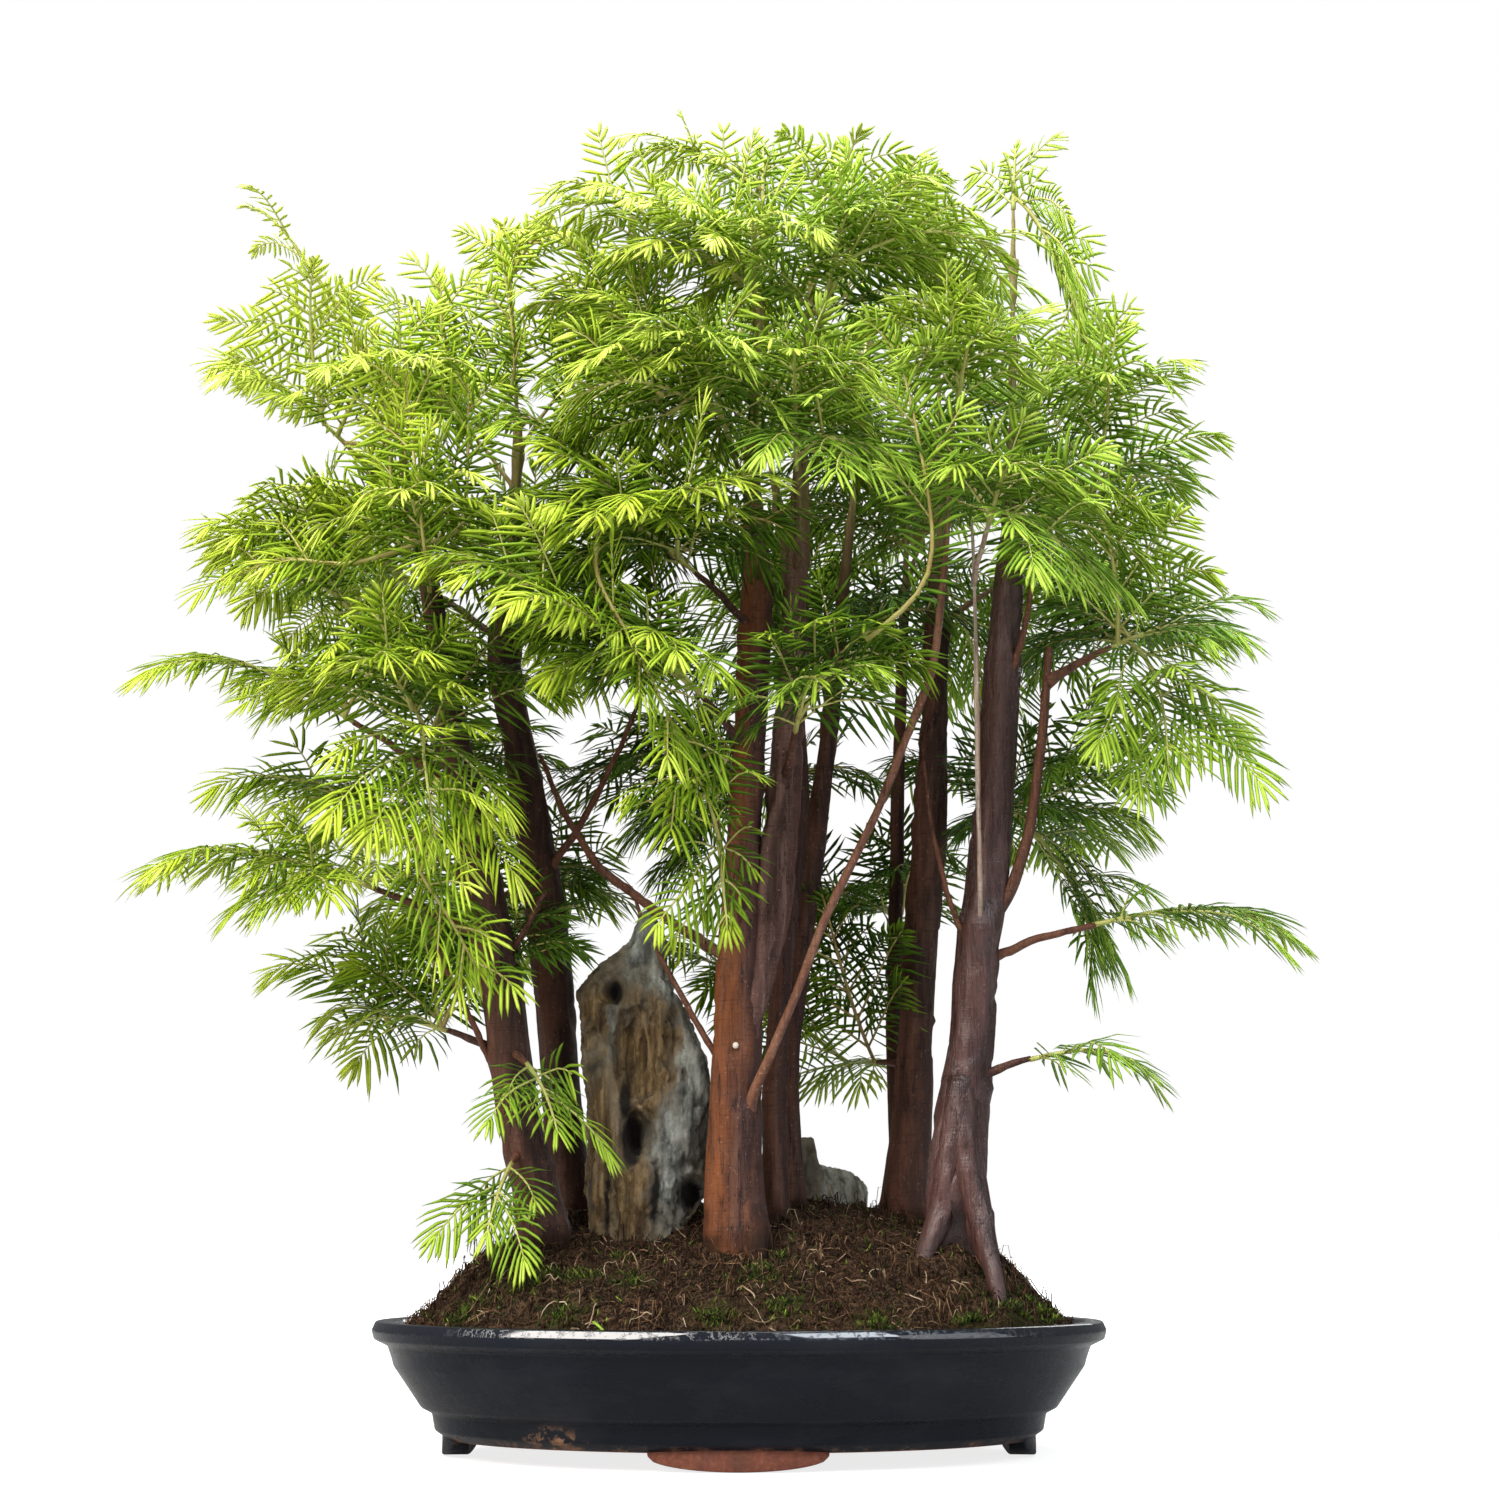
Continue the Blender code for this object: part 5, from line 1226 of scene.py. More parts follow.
def sidesAlong(line):  # two directions square to a line at each of its points, without a twist
    side, sides = np.array((1.0, 0.0, 0.0)), []
    ways = unit(np.gradient(line, axis=0))
    for way in ways:
        side = side - way * (side @ way)
        side = side / np.linalg.norm(side)
        sides.append(side)
    return np.array(sides), np.cross(ways, np.array(sides))


def barkTube(gather, rows, slot, look, shift, bumps=(), sides=wood["sides"], forkShadeLength=wood["forkShadeLength"]):
    lumpy, cracked, plated, ringed, flare, lobes = wood["looks"][look]
    line, thick, at = evenLine(rows, wood["step"], 12)
    young = grade(line[:, 2], *wood["young"])
    thick = thick * (1 - wood["youngThin"] * young)
    side, other = sidesAlong(line)
    turns = turnsOf(sides)
    out = side[:, None] * np.cos(turns)[:, None] + other[:, None] * np.sin(turns)[:, None]
    grain = np.stack(np.broadcast_arrays(thick[:, None] * np.cos(turns), thick[:, None] * np.sin(turns),
                                         at[:, None]), 2).reshape(-1, 3)

    def roughness(scale, key, octaves):
        return roughAt(grain, scale, shift + key, octaves).reshape(len(line), sides)
    lump = roughness((70, 70, 15), 0, 2)
    fissure = roughness((190, 190, 11), 4, 4)
    plate = np.clip(roughness((80, 80, 17), 9, 4) / 0.06, -1, 1)
    reach = thick[:, None] * (1 + lumpy * lump) + plated * plate + ringed * roughness((30, 30, 480), 14, 2)
    reach = reach + cracked * (0.5 * fissure + 3.0 * np.minimum(0, fissure + 0.05))
    above = np.maximum(0, line[:, 2] - soilHeight(line[:, 0], line[:, 1]))
    swell = flare * np.exp(-above / 0.011)[:, None]
    reach = reach * (1 + swell * (0.35 + 0.65 * np.cos(lobes * turns + shift)[None] ** 2))
    points = line[:, None] + out * reach[:, :, None]
    # painted shade: the fissures are darkened where they cut deepest
    deep = np.clip(-3.4 * fissure - 0.35, 0, 1) * min(1, cracked / 0.0007)
    # painted shade where a limb leaves its fork, fading out along the limb
    if not flare:
        deep = np.maximum(deep, np.exp(-(at / forkShadeLength) ** 2)[:, None])
    for place, size, high in bumps:
        close = np.exp(-(np.linalg.norm(points - np.array(place[:]), axis=2) / size) ** 2)
        points = points + out * (high * close)[:, :, None]
        # painted shade in the hollows
        if high < 0:
            deep = np.maximum(deep, 1.5 * close)
    earthy = 0.9 * np.exp(-(above / (0.0035 if flare else 0.009)) ** 1.5)[:, None]
    earthy = earthy * np.clip(0.9 + 1.6 * lump, 0.3, 1)
    points = np.concatenate([points.reshape(-1, 3), line[:1], line[-1:]])
    # side, from how each point faces, carries the painted light on the left and the painted shade on the
    # right
    gather.add(points, ringFaces(len(line), sides), slot, deep=np.concatenate([deep.ravel(), (0.5, 0.5)]),
               side=np.concatenate([(0.5 + 0.5 * out[:, :, 0]).ravel(), (0.5, 0.5)]),
               earthy=np.concatenate([earthy.ravel(), earthy[0, :1], earthy[-1, :1]]),
               young=np.concatenate([np.repeat(young, sides), young[:1], young[-1:]]))


def twigTube(gather, points, radii, slot, side=0.5):  # a bare twig with a swollen butt and small nodes
    line, thick, at = evenLine(np.column_stack([points, radii]) / mm, wood["twigStep"], 4)
    slim = grade(line[0, 2], *wood["slimButts"])  # high up the butts are as slim as the leaders
    thick = thick * (1 - 0.45 * slim) * (1 + (0.55 - 0.47 * slim) * np.exp(-at / 0.004))
    thick = thick * (1 + 0.16 * np.sin(at / 0.0021) ** 8)
    jitter = roughAt(line, 70, 2.0, 2)
    line = line + np.stack([jitter, np.roll(jitter, 3), np.roll(jitter, 5)], 1) * 0.0007
    tube, faces = thinTubes(line[None], thick[None], wood["twigSides"])
    gather.add(tube, faces, slot, side=side, young=grade(tube[:, 2], *wood["young"]))


def outward(turn):
    return Vector((math.cos(turn), math.sin(turn), 0))


def trunkPoint(name, height, turn):  # a place on a trunk's bark
    return pointOn(name, height) + outward(turn) * thicknessAt(name, height)


def collarsOf(name):
    bumps = []
    for index, (source, height, _) in enumerate(branches):
        if source == name:
            level = branchAxes(index)[0].way(0)
            place = trunkPoint(name, height, math.atan2(level.y, level.x))
            bumps.append((place, wood["collarSize"], wood["collar"]))
    for height, turn, size, high in wood["knots"].get(name, ()):
        bumps.append((trunkPoint(name, height, math.radians(turn)), size * mm, high * mm))
    return bumps


def pruningScar(gather, slot):
    name, height, turn, size = wood["scar"]
    turn = math.radians(turn)
    out, spin = outward(turn), turn + math.pi / 2
    ways = np.array(((math.cos(spin), math.sin(spin), 0), out, up))  # the scar's width, depth and height
    centre = trunkPoint(name, height, turn) + out * 0.0004
    deselectAll()
    bpy.ops.mesh.primitive_uv_sphere_add(segments=18, ring_count=10, radius=1)
    editAll()
    bpy.ops.mesh.quads_convert_to_tris()
    bpy.ops.object.mode_set(mode="OBJECT")
    points, faces = taken(bpy.context.object)
    points = points * (size, 0.0011, size * 1.1)
    gather.add(points @ ways + np.array(centre), faces, slot)


def scarFinish():
    skin = Finish("cutWood")
    grain = skin.cloud(1.0, 4, stretch=(300, 300, 900))
    return skin.wear(skin.ramp(grain, ((0.3, (0.560, 0.440, 0.330)), (0.7, (0.860, 0.780, 0.680)))), 0.8)


def growLimb(gather, limb, rows, finishes, shift):  # and the slot for the twigs that grow from it
    kind = "fork" if limb == "fork" else "root" if limb.endswith("root") else "limb"
    slot = 1 if kind == "limb" else 0
    if limb in limbBark:
        slot = len(finishes)
        finishes.append(bark[limbBark[limb]])
    rows = wood["joins"].get(limb, ()) + (rows[1:] if kind == "root" else rows)
    sides = wood["limbSides"] if kind == "limb" else wood["sides"]
    barkTube(gather, rows, slot, kind, shift, sides=sides, forkShadeLength=wood["longForkShade"].get(limb, wood["forkShadeLength"]))
    return slot if kind == "limb" else 1


def growTwigs(gather, name, slots):
    for index, (source, height, _) in enumerate(branches):
        if treeOf(source) == name:
            whole, _ = branchAxes(index)
            shares = np.linspace(0, plan["woodyShare"] * 1.02, 9)
            radii = plan["buttRadius"] + plan["taper"] * (1 - shares / plan["woodyShare"])
            radii = np.minimum(radii, 1.15 * thicknessAt(source, height))
            places = [whole.at(share)[:] for share in shares]
            twigTube(gather, places, radii, slots.get(source, 1), 0.5 + 0.4 * steady(index, 11))
    for source, rows in twigs:
        if source == name:
            twigTube(gather, np.array(rows)[:, :3] * mm, np.array(rows)[:, 3] * mm, 1, 0.3)


def growTrunk(name, number):
    gather = Gather("side", "deep", "earthy", "young")
    barkTube(gather, trunks[name], 0, name, 5.0 * number, collarsOf(name))
    finishes, slots = [bark[trunkBark.get(name, "brownBark")], bark["twigBark"]], {}
    for limb, (trunk, rows) in limbs.items():
        if trunk == name:
            slots[limb] = growLimb(gather, limb, rows, finishes, 5.0 * number + 2.5)
    growTwigs(gather, name, slots)
    if name == wood["scar"][0]:
        finishes.append(scarFinish())
        pruningScar(gather, len(finishes) - 1)
    piece = gather.piece("bark" + name.title().replace("_", ""), finishes)
    standsFor(piece, "bark", name)
    return len(piece.data.polygons)


# each bark's tone at its left, painted as lit, at its right, painted as shaded, and on peeling strips, its
# roughness and how much of it peels
barks = {
    "orangeBark": ((0.225, 0.070, 0.022), (0.062, 0.029, 0.025), (0.250, 0.120, 0.078), 0.55, 0.40),
    "greyPinkBark": ((0.170, 0.086, 0.068), (0.100, 0.048, 0.040), (0.290, 0.180, 0.150), 0.60, 0.60),
    "mauveBark": ((0.092, 0.038, 0.031), (0.050, 0.022, 0.021), (0.190, 0.110, 0.102), 0.27, 0.44),
    "brownBark": ((0.120, 0.048, 0.028), (0.048, 0.022, 0.018), (0.190, 0.100, 0.070), 0.60, 0.42),
    "twigBark": ((0.150, 0.058, 0.032), (0.072, 0.030, 0.022), (0.280, 0.140, 0.080), 0.50, 0.4),
    "redTwigBark": ((0.240, 0.100, 0.055), (0.150, 0.064, 0.045), (0.400, 0.220, 0.140), 0.45, 0.5),
    "paleBark": ((0.640, 0.480, 0.390), (0.400, 0.260, 0.200), (0.780, 0.670, 0.560), 0.42, 0.6),
}
bark = {name: barkFinish(name, *looks) for name, looks in barks.items()}
trunkBark = {"trunk_main": "orangeBark", "trunk_right_front": "mauveBark"}
limbBark = {"fork": "greyPinkBark", "leader": "redTwigBark", "pale_stem": "paleBark"}
barkFaces = sum(growTrunk(name, number) for number, name in enumerate(trunks))
print("trunks made,", barkFaces, "triangles")

# Foliage: flat needles in two ranks along shoots that nod over at their tips

foliage = {
    "length": 0.0222, "width": 0.0021, "keel": 0.30, "pitch": 0.0044, "tipPitch": 0.0019,
    # the two needle shapes: shares of the length and of the half width
    "fine": ((0.0, 0.42), (0.34, 1.0), (0.78, 0.90), (1.0, 0.0)),
    "plain": ((0.0, 0.55), (0.60, 1.0), (1.0, 0.0)),
    "sag": 0.36, "forward": 0.26, "nod": 1.35,
    # the radii of the stems at their butts and tips
    "axisTip": 0.0005, "shootRadii": (0.00068, 0.00035), "uprightRadii": (0.00135, 0.0005),
    # how needles lean outward, in degrees at the butt and how many fewer at the tip, and how much they differ
    "lean": (66, 50), "leanVaries": 0.09, "rollVaries": 0.22, "liftVaries": 0.10, "twistVaries": 0.24,
    "lengthVaries": 0.07, "widthVaries": 0.08, "ageVaries": 0.045,
    # sprays that stand alone and stay narrow, and those with small needles, by number
    "slim": {1: 0.28, 2: 0.8, 4: 0.6, 5: 0.7, 6: 0.7, 7: 0.6, 8: 0.45, 9: 0.45, 15: 0.8, 24: 0.5, 37: 0.4,
             42: 0.8, 43: 0.4, 44: 0.35},
    "small": {1: 0.62, 8: 0.80, 9: 0.80, 24: 0.72},
    "shootEvery": 0.0145, "standEvery": 0.021, "standing": 0.048, "seed": 500,
    # from this height, over this much, needles are painted this much lighter, as light on the crown's top,
    # and are this much shorter
    "lightHigh": (0.38, 0.16, 0.27), "shortHigh": (0.45, 0.15, 0.36),
    # the crown's top from left to right: x and height; standing and side shoots that pass it are made shorter
    "topX": (-260, -200, -150, -110, -60, 0, 110, 150, 185, 240),
    "topZ": (596, 545, 560, 598, 612, 622, 618, 608, 545, 485),
    # upright young shoots with pale stems: points x, y, z on each
    "uprights": (
        ((-141, -75, 380), (-149, -80, 438), (-157, -75, 496)),
        ((-163, -60, 420), (-164, -66, 462), (-169, -66, 498)),
        ((-128, -66, 418), (-127, -70, 460), (-129, -62, 497)),
        ((-143, -40, 470), (-144, -46, 520), (-146, -42, 559)),
        ((-39, -72, 470), (-43, -76, 530), (-52, -60, 578)),
        ((-60, -50, 505), (-70, -56, 548), (-84, -50, 575)),
        ((91, -112, 386), (80, -118, 454), (71, -108, 502)),
        ((167, -36, 470), (172, -42, 510), (181, -34, 538)),
        ((-107, -30, 500), (-113, -36, 548), (-119, -30, 584)),
        ((60, 100, 500), (66, 108, 550), (70, 100, 588)),
        ((-60, 90, 500), (-66, 96, 545), (-74, 90, 576)), ((150, 60, 480), (158, 64, 530), (166, 60, 560)),
        ((-170, 60, 450), (-176, 66, 500), (-182, 60, 532)),
        # and some that hang in front of the left trees and the main trunk
        ((-66, -112, 388), (-43, -118, 350), (-23, -112, 305)),
        ((0, -88, 318), (-17, -96, 309), (-31, -96, 291)),
        ((-182, -70, 402), (-216, -60, 412), (-240, -48, 402)),
        ((-146, -92, 262), (-128, -98, 238), (-114, -92, 212)),
    ),
    "uprightShoots": (0.42, 0.56, 0.70, 0.82, 0.92), "uprightReach": 0.034,
    # the needles' tones from old and shaded to young and lit, where they are yellow-green and where they are
    # cool; the cool tones are painted shade
    "warm": ((0.0, (0.035, 0.080, 0.005)), (0.22, (0.092, 0.186, 0.009)), (0.46, (0.222, 0.365, 0.016)),
             (0.72, (0.490, 0.630, 0.040)), (1.0, (0.670, 0.790, 0.130))),
    "cold": ((0.0, (0.019, 0.055, 0.009)), (0.28, (0.050, 0.130, 0.015)), (0.62, (0.180, 0.355, 0.032)),
             (1.0, (0.470, 0.690, 0.085))),
}


def modelNeedle(rows):  # one needle along Z, flat above and keeled below, made once and copied
    deselectAll()
    bpy.ops.mesh.primitive_circle_add(vertices=3, radius=1, fill_type="NGON", rotation=(0, 0, math.pi))
    needle = bpy.context.object
    editAll()
    bpy.ops.transform.resize(value=(rows[0][1], rows[0][1] * foliage["keel"], 1))
    for (low, wide), (high, nextWide) in zip(rows, rows[1:]):
        bpy.ops.mesh.extrude_region_move(TRANSFORM_OT_translate={"value": (0, 0, high - low)})
        share = max(nextWide, 0.0001) / wide
        bpy.ops.transform.resize(value=(share, share, 1))
    bpy.ops.mesh.select_all(action="SELECT")
    bpy.ops.mesh.remove_doubles(threshold=0.001)
    bpy.ops.mesh.quads_convert_to_tris()
    endEdit()
    return taken(needle)


fineNeedle, plainNeedle = modelNeedle(foliage["fine"]), modelNeedle(foliage["plain"])
print("needles modelled,", len(fineNeedle[1]), "and", len(plainNeedle[1]), "faces")


def nodding(points, nod, keptTip):  # the line with its last half bent down; 1 keeps its tip in place
    line = np.array([point[:] for point in points])
    steps = np.diff(line, axis=0)
    sizes = np.linalg.norm(steps, axis=1)[:, None]
    ways = steps / sizes
    t = (np.arange(len(steps)) + 0.5) / len(steps)
    level = np.clip(1.15 - np.abs(ways[:, 2]), 0, 1)
    ways[:, 2] -= nod * level * grade(t, 0.35, 0.65) ** 1.6
    bent = np.concatenate([line[:1], line[:1] + np.cumsum(unit(ways) * sizes, axis=0)])
    return bent + (line[-1] - bent[-1]) * (keptTip * np.linspace(0, 1, len(line)) ** 1.3)[:, None]


def alongLine(line, shares):  # places and directions at shares of a line's length
    along = distances(line) / lengthOf(line)
    after = between(np.minimum(shares + 0.03, 1), along, line)
    before = between(np.maximum(shares - 0.03, 0), along, line)
    return between(shares, along, line), unit(after - before)


def stationShares(length, bare):  # where needle pairs grow, closer together towards the tip
    shares, at = [], bare * length + 0.002
    while at < length - 0.0004:
        shares.append(at / length)
        t = (at / length - bare) / (1 - bare)
        at += foliage["pitch"] * (1 - t ** 3) + foliage["tipPitch"] * t ** 3
    return np.array(shares)


def addStem(gather, line, radius, tipRadius, age, cool, rings=6, sides=4):
    shares = np.linspace(0, 1, rings)
    places, _ = alongLine(line, shares)
    points, faces = thinTubes(places[None], (radius + (tipRadius - radius) * shares)[None], sides)
    gather.add(points, faces, 1, age=age, cool=cool)


def needleAxes(ways, normal, t, sides, draw):  # where each needle points, its sideways and its upward way
    roll = draw.normal(0, foliage["rollVaries"])
    flat = unit(np.cross(ways, np.array(normal[:])))
    flat = flat * math.cos(roll) + np.cross(flat, ways) * math.sin(roll)
    atButt, fewer = foliage["lean"]
    lean = np.radians(atButt - fewer * t ** 3) + draw.normal(0, foliage["leanVaries"], len(t))
    lift = 0.16 * (1 - t) + draw.normal(0.04, foliage["liftVaries"], len(t))
    above = np.cross(flat, ways)
    out = flat * (sides * np.sin(lean))[:, None]
    point = unit(ways * np.cos(lean)[:, None] + out + above * lift[:, None])
    across = unit(np.cross(above, point))
    twist = draw.normal(0, foliage["twistVaries"], len(t))[:, None]
    across = across * np.cos(twist) + np.cross(point, across) * np.sin(twist)
    return point, across, np.cross(point, across)


def addNeedles(gather, line, normal, bare, draw, cool, size=1.0):
    stations = stationShares(lengthOf(line), bare)
    if len(stations) < 3:
        return
    total = 2 * len(stations)
    shares = np.clip(np.repeat(stations, 2) + draw.uniform(-0.006, 0.006, total), 0, 1)
    places, ways = alongLine(line, shares)
    t = grade(shares, bare, 1 - bare)
    point, across, face = needleAxes(ways, normal, t, np.tile([-1.0, 1.0], len(stations)), draw)
    reach = foliage["length"] * size * (0.22 + 0.78 * np.sin(math.pi * (0.20 + 0.73 * t)))
    low, over, shorter = foliage["shortHigh"]
    reach *= 1 - shorter * grade(places[:, 2], low, over)
    reach *= 1 + draw.normal(0, foliage["lengthVaries"], total)
    wide = foliage["width"] / 2 * (0.70 + 0.30 * size)
    wide = wide * (1 + draw.normal(0, foliage["widthVaries"], total))
    sag = foliage["sag"] * (0.6 + 0.8 * draw.random(total)) * reach
    # painted light and shade: needles are lighter near the crown's outline and high up, darker deep inside;
    # shoot tips are lighter as young growth
    outer = grade(crownShare(places), 0.40, 0.60) ** 1.4
    low, over, lighter = foliage["lightHigh"]
    age = 0.10 + 0.34 * outer + 0.44 * t ** 2.4 * (0.45 + 0.55 * outer)
    age += draw.normal(0, foliage["ageVaries"], total)
    age += lighter * grade(places[:, 2], low, over)
    fine = (outer > 0.45) & (t > 0.4)
    for keep, (needlePoints, needleFaces) in ((fine, fineNeedle), (~fine, plainNeedle)):
        if not keep.any():
            continue
        x, y, z = needlePoints.T[:, None, :, None]
        long, half = reach[keep, None, None], wide[keep, None, None]
        points = (places[keep, None] + point[keep, None] * (z * long) + across[keep, None] * (x * half)
                  + face[keep, None] * (y * half) + ways[keep, None] * (z ** 2 * long * foliage["forward"]))
        points[:, :, 2] -= z[:, :, 0] ** 2 * sag[keep, None]
        faces = copies(needleFaces, keep.sum(), len(needlePoints))
        shade = np.clip(age[keep, None] + 0.08 * (z[:, :, 0] - 0.5), 0, 1)
        gather.add(points.reshape(-1, 3), faces, 0, age=shade.ravel(), cool=cool)


def standingLine(axis, share, side, draw):  # a young shoot that stands up from its axis
    way, flat = axis.way(share), axis.flat(share)
    above = flat.cross(way) if flat.cross(way).z > 0 else way.cross(flat)
    out = way * draw.uniform(0.35, 0.7) + above * draw.uniform(0.5, 0.9)
    out = (out + flat * (side * draw.uniform(0.1, 0.5))).normalized()
    length = foliage["standing"] * draw.uniform(0.6, 1.1) * (1.1 - 0.4 * share)
    points = [axis.at(share) + out * (length * k / 6) for k in range(7)]
    normal = out.cross(flat).cross(out) if draw.random() < 0.5 else flat.cross(out)
    return points, normal.normalized()


def passesTop(points):
    return any(point.z > mm * np.interp(point.x / mm, foliage["topX"], foliage["topZ"]) for point in points)


def coolShade(x, z, number):  # painted shade: from 0 where the needles are yellow-green and lit, at the left and the top, to 1 where they are cool and shaded, at the right and low down
    shade = 0.55 * min(1, max(0, (0.21 - z) / 0.07))
    return min(1, max(0, 0.36 + 2.5 * x + shade + 0.3 * steady(number, 5)))


def leafAxis(gather, axis, draw, slim=1.0, packed=True, small=1.0):
    cool = coolShade(axis.tip.x, axis.tip.z, axis.number)
    points, normal = axis.line()
    line = nodding(points, foliage["nod"] * 0.8, 1)
    # stems are painted lighter near the crown's outline, as light, and darker inside, as shade
    stemAge = 0.40 + 0.35 * float(crownShare(line[-1:])[0])
    addStem(gather, line, plan["buttRadius"], foliage["axisTip"], stemAge, cool, 12)
    addNeedles(gather, line, normal, 0.26 if packed else 0.14, draw, cool, small)
    rows = max(2, int(axis.length() * 0.80 / foliage["shootEvery"]))
    shares = [(0.08 + 0.76 * k / rows, side) for k in range(rows + 1) for side in (-1, 1)]
    if packed:
        shares = [(share, side) for share, side in shares
                  if all(abs(share - own) > 0.05 or side != ownSide for own, ownSide in plan["packedShoots"])]
        shares += plan["packedShoots"]
    for share, side in shares:
        own = packed and (share, side) in plan["packedShoots"]
        size = 1.0 if own else slim * draw.uniform(0.65, 1.1) * (1.1 - 0.6 * share)
        points, flat = shootLine(axis, share, side)
        if not own and passesTop(points):
            size *= 0.55
        growShoot(gather, points, flat, size, line, share, stemAge, draw, cool, small)
    for k in range(int(axis.length() * slim / foliage["standEvery"])):
        share = 0.12 + 0.66 * (k + draw.random()) * foliage["standEvery"] / axis.length()
        points, flat = standingLine(axis, share, 1 if k % 2 else -1, draw)
        size = slim * (0.45 if passesTop(points) else 1)
        growShoot(gather, points, flat, size, line, share, stemAge, draw, cool, small)


def growShoot(gather, points, flat, size, line, share, stemAge, draw, cool, small):
    shoot = np.array([point[:] for point in points])
    root, _ = alongLine(line, np.array([share]))
    shoot = nodding(root + (shoot - shoot[0]) * size, foliage["nod"] * draw.uniform(0.6, 1.2), 0.6)
    addStem(gather, shoot, *foliage["shootRadii"], stemAge + 0.05, cool)
    addNeedles(gather, shoot, flat, 0.08, draw, cool, small * (0.80 + 0.20 * min(1, size)))


def uprightLine(rows, stems):  # from the nearest stem of a spray up through the listed places
    listed = np.array(rows) * mm
    root = stems[np.linalg.norm(stems - listed[0], axis=1).argmin()]
    corners = np.concatenate([[root], listed])
    at = np.linspace(0, len(corners) - 1, 26)
    return rounded(between(at, np.arange(len(corners)), corners), 14)


def growUprights():
    axes = [axis for index in range(len(branches)) for axis in branchAxes(index)[1]]
    stems = np.array([axis.at(k / 12)[:] for axis in axes for k in range(11)])
    gather = Gather("age", "cool")
    draw = np.random.default_rng(foliage["seed"] - 1)
    for number, rows in enumerate(foliage["uprights"]):
        line = uprightLine(rows, stems)
        cool = coolShade(rows[-1][0] * mm, rows[-1][2] * mm, number)
        rise = 0.25 if rows[-1][2] > rows[0][2] else 0.9
        facing = Vector((draw.normal(0, 0.4), -1 if rows[0][1] < 0 else 1, rise)).normalized()
        addStem(gather, line, *foliage["uprightRadii"], 0.60, cool, 16, 5)
        addNeedles(gather, line, facing, 0.18, draw, cool)
        for k, share in enumerate(foliage["uprightShoots"]):
            places, ways = alongLine(line, np.array([share]))
            way = Vector(ways[0])
            out = way * 0.75 + way.cross(facing) * (0.66 if k % 2 else -0.66)
            out = out + facing * draw.uniform(0.0, 0.5)
            reach = foliage["uprightReach"] * draw.uniform(0.7, 1.1) * (1.25 - 0.6 * share)
            points = [Vector(places[0]) + out.normalized() * (reach * step / 6) for step in range(7)]
            growShoot(gather, points, facing, 1.0, line, share, 0.60, draw, cool, 0.85)
    standsFor(gather.piece("uprightShoots", sprayFinishes), "needles")


def needleFinish():
    skin = Finish("softNeedles")
    age = skin.varied("age", 48, 0.13, clamp=True)
    # cool mixes in the darker cold tones: painted shade on the right and low in the crown
    colour = skin.mixed(skin.given("cool"), skin.ramp(age, foliage["warm"]), skin.ramp(age, foliage["cold"]))
    return skin.wear(colour, skin.spread(skin.cloud(900, 2), 0.3, 0.7, 0.40, 0.55), 0.16)


def stemFinish():
    return tonedFinish("greenStems", "age", 120, 0.15, (
        (0.25, (0.150, 0.068, 0.030)), (0.50, (0.400, 0.300, 0.090)), (0.80, (0.500, 0.520, 0.140))), 0.5)


sprayFinishes = [needleFinish(), stemFinish()]


def growSprays():
    total = 0
    for index in range(len(branches)):
        gather = Gather("age", "cool")
        draw = np.random.default_rng(foliage["seed"] + index)
        slim, small = foliage["slim"].get(index + 1, 1), foliage["small"].get(index + 1, 1)
        for axis in branchAxes(index)[1]:
            leafAxis(gather, axis, draw, slim, small=small)
        for frond in fronds[index]:
            leafAxis(gather, frond, draw, packed=False)
        spray = gather.piece("leafySpray%02d" % (index + 1), sprayFinishes)
        standsFor(spray, "needles", "spray_%02d" % (index + 1))
        total += len(spray.data.polygons)
    return total


print("sprays grown,", growSprays(), "triangles")
growUprights()

# Stage, light and camera

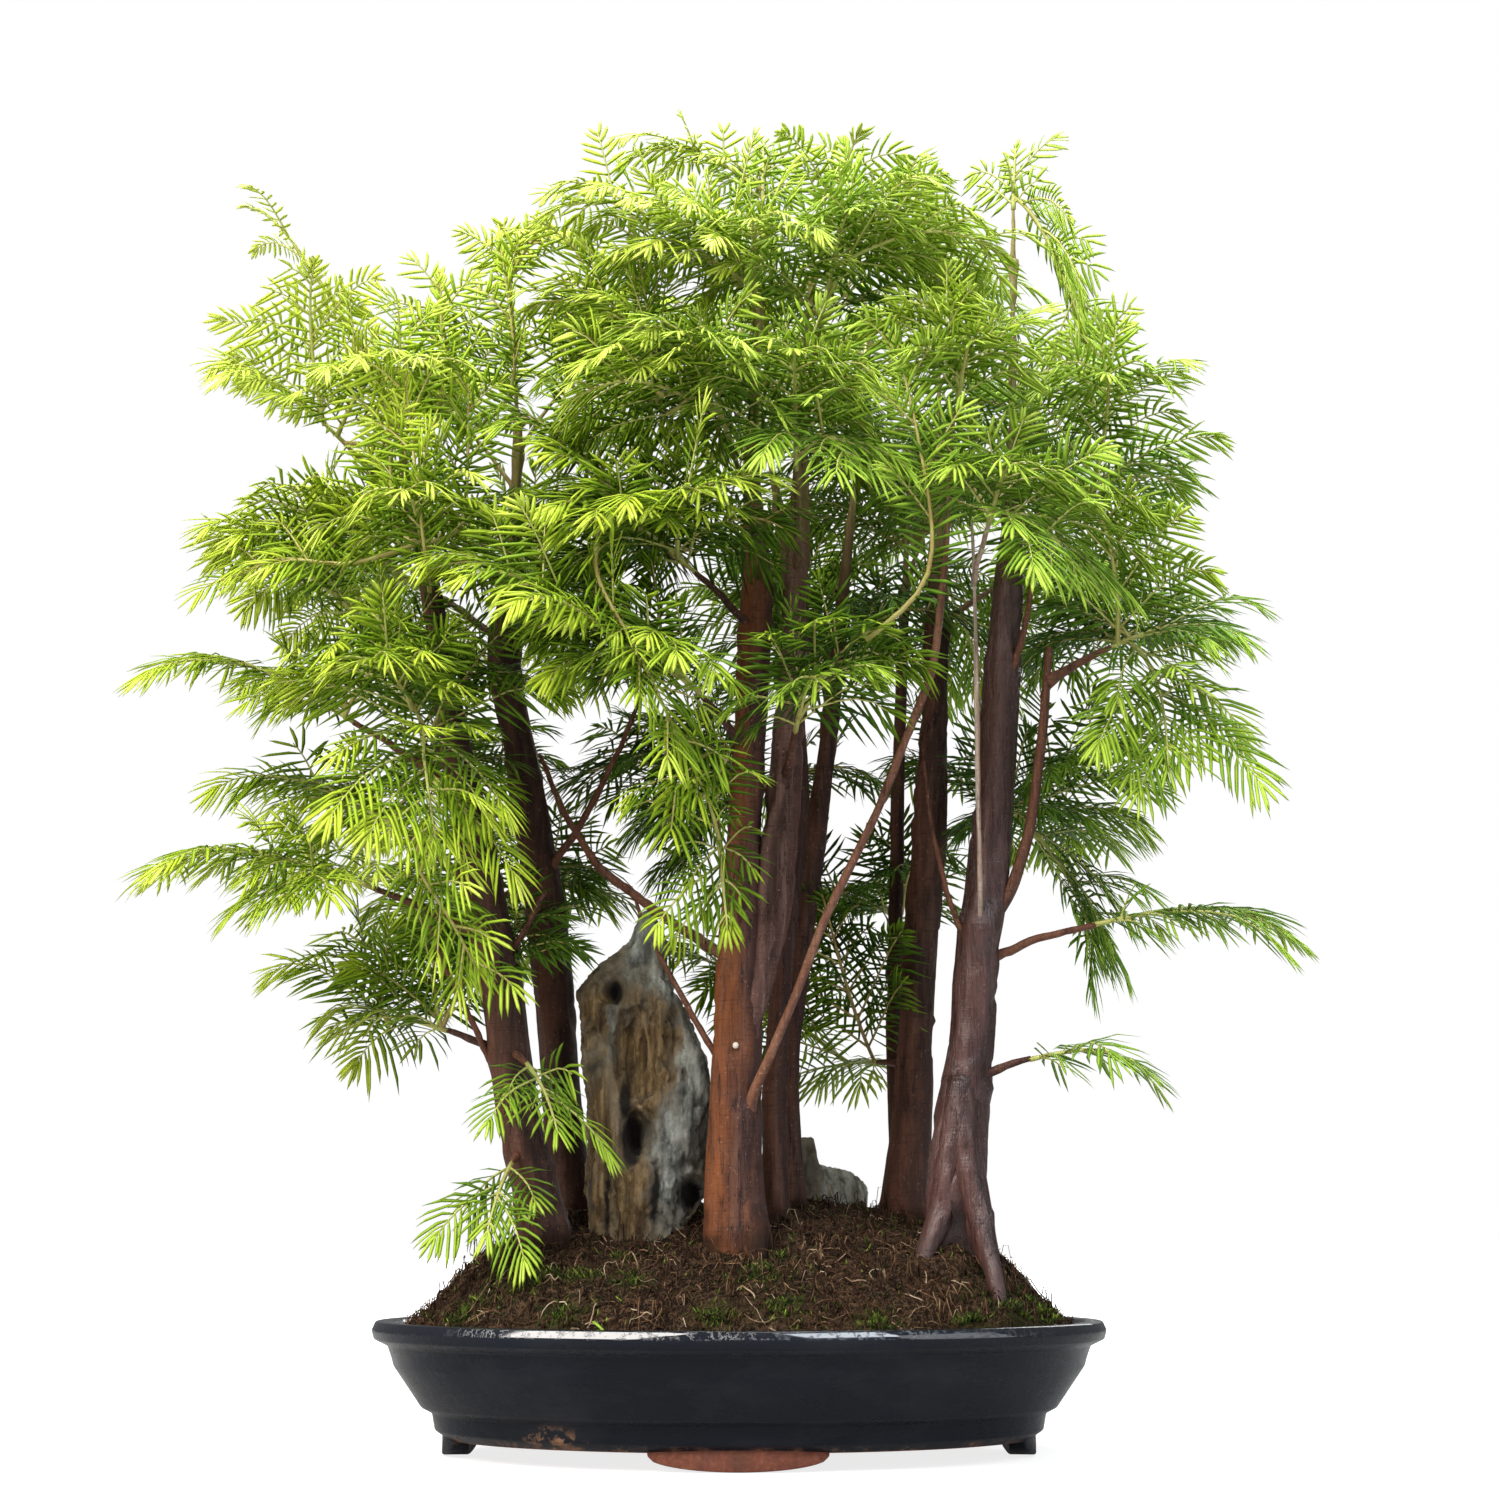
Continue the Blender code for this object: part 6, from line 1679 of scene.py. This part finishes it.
studio = {
    "lens": 57.8, "tilt": 11.07, "eye": (0.005, -1.15, 0.105), "sky": 0.18,
    "floor": (0.42, 0.42, 0.42), "glowScale": (0.42, 0.42, 0.42),
    # soft lights: name, side length, place, aim, power and colour
    "lights": (("keyLight", 1.5, (-1.25, -1.25, 1.75), (0, 0, 0.32), 84, (1.0, 0.955, 0.91)),
               ("windowLight", 0.8, (0.80, -1.35, 1.75), (0, 0, 0.20), 18, (0.86, 0.93, 1.0)),
               ("fillLight", 1.2, (1.7, -1.0, 1.0), (0, 0, 0.30), 8, (0.90, 0.95, 1.0)),
               ("topLight", 1.1, (0.1, 0.2, 2.2), (0, 0, 0.50), 56, (1.0, 1.0, 0.97)),
               ("backLight", 1.0, (0.7, 1.7, 1.2), (0, 0, 0.40), 12, (1.0, 1.0, 1.0))),
}


def setStage():
    deselectAll()
    bpy.ops.mesh.primitive_plane_add(size=12, location=(0, 0, -0.0003))
    floor = bpy.context.object
    floor.name = "paleFloor"
    bpy.ops.object.transform_apply(location=True)
    skin = Finish("palePaper")
    place = skin.place(studio["glowScale"])
    away = skin.add("TexGradient", {"Vector": place}, "Fac", gradient_type="SPHERICAL")
    seen = skin.spread(skin.add("LightPath", {}, "Is Camera Ray"), 0.0, 1.0, 0.12, 1.0)
    glow = skin.times(skin.spread(away, 0.1, 0.75, 1.8, 0.80), seen)
    skin.feed(skin.shader.inputs["Emission Color"], (1, 1, 1))
    skin.feed(skin.shader.inputs["Emission Strength"], glow)
    floor.data.materials.append(skin.wear(studio["floor"], 0.9, 0.0))


def setLights():
    world = bpy.data.worlds.new("paleStudio")
    bpy.context.scene.world = world
    world.use_nodes = True
    nodes, sky = Nodes(world.node_tree), world.node_tree.nodes["Background"]
    nodes.feed(sky.inputs["Color"], (1, 1, 1))
    seen = nodes.add("LightPath", {}, "Is Camera Ray")
    nodes.feed(sky.inputs["Strength"], nodes.spread(seen, 0.0, 1.0, studio["sky"], 1.0))
    for name, size, place, aim, power, colour in studio["lights"]:
        light = bpy.data.lights.new(name, "AREA")
        light.shape, light.size, light.energy, light.color = "SQUARE", size, power, colour
        lamp = bpy.data.objects.new(name, light)
        lamp.location = place
        lamp.rotation_euler = (Vector(aim) - Vector(place)).to_track_quat("-Z", "Y").to_euler()
        bpy.context.scene.collection.objects.link(lamp)


def setCamera():
    camera = bpy.data.cameras.new("photoCamera")
    camera.lens = studio["lens"]
    holder = bpy.data.objects.new("photoCamera", camera)
    holder.location = Vector(studio["eye"]) + middle
    holder.rotation_euler = (math.radians(90 + studio["tilt"]), 0, 0)
    bpy.context.scene.collection.objects.link(holder)
    bpy.context.scene.camera = holder
    bpy.context.scene.view_settings.view_transform = "Standard"


setStage()
setLights()
setCamera()
print("finished")
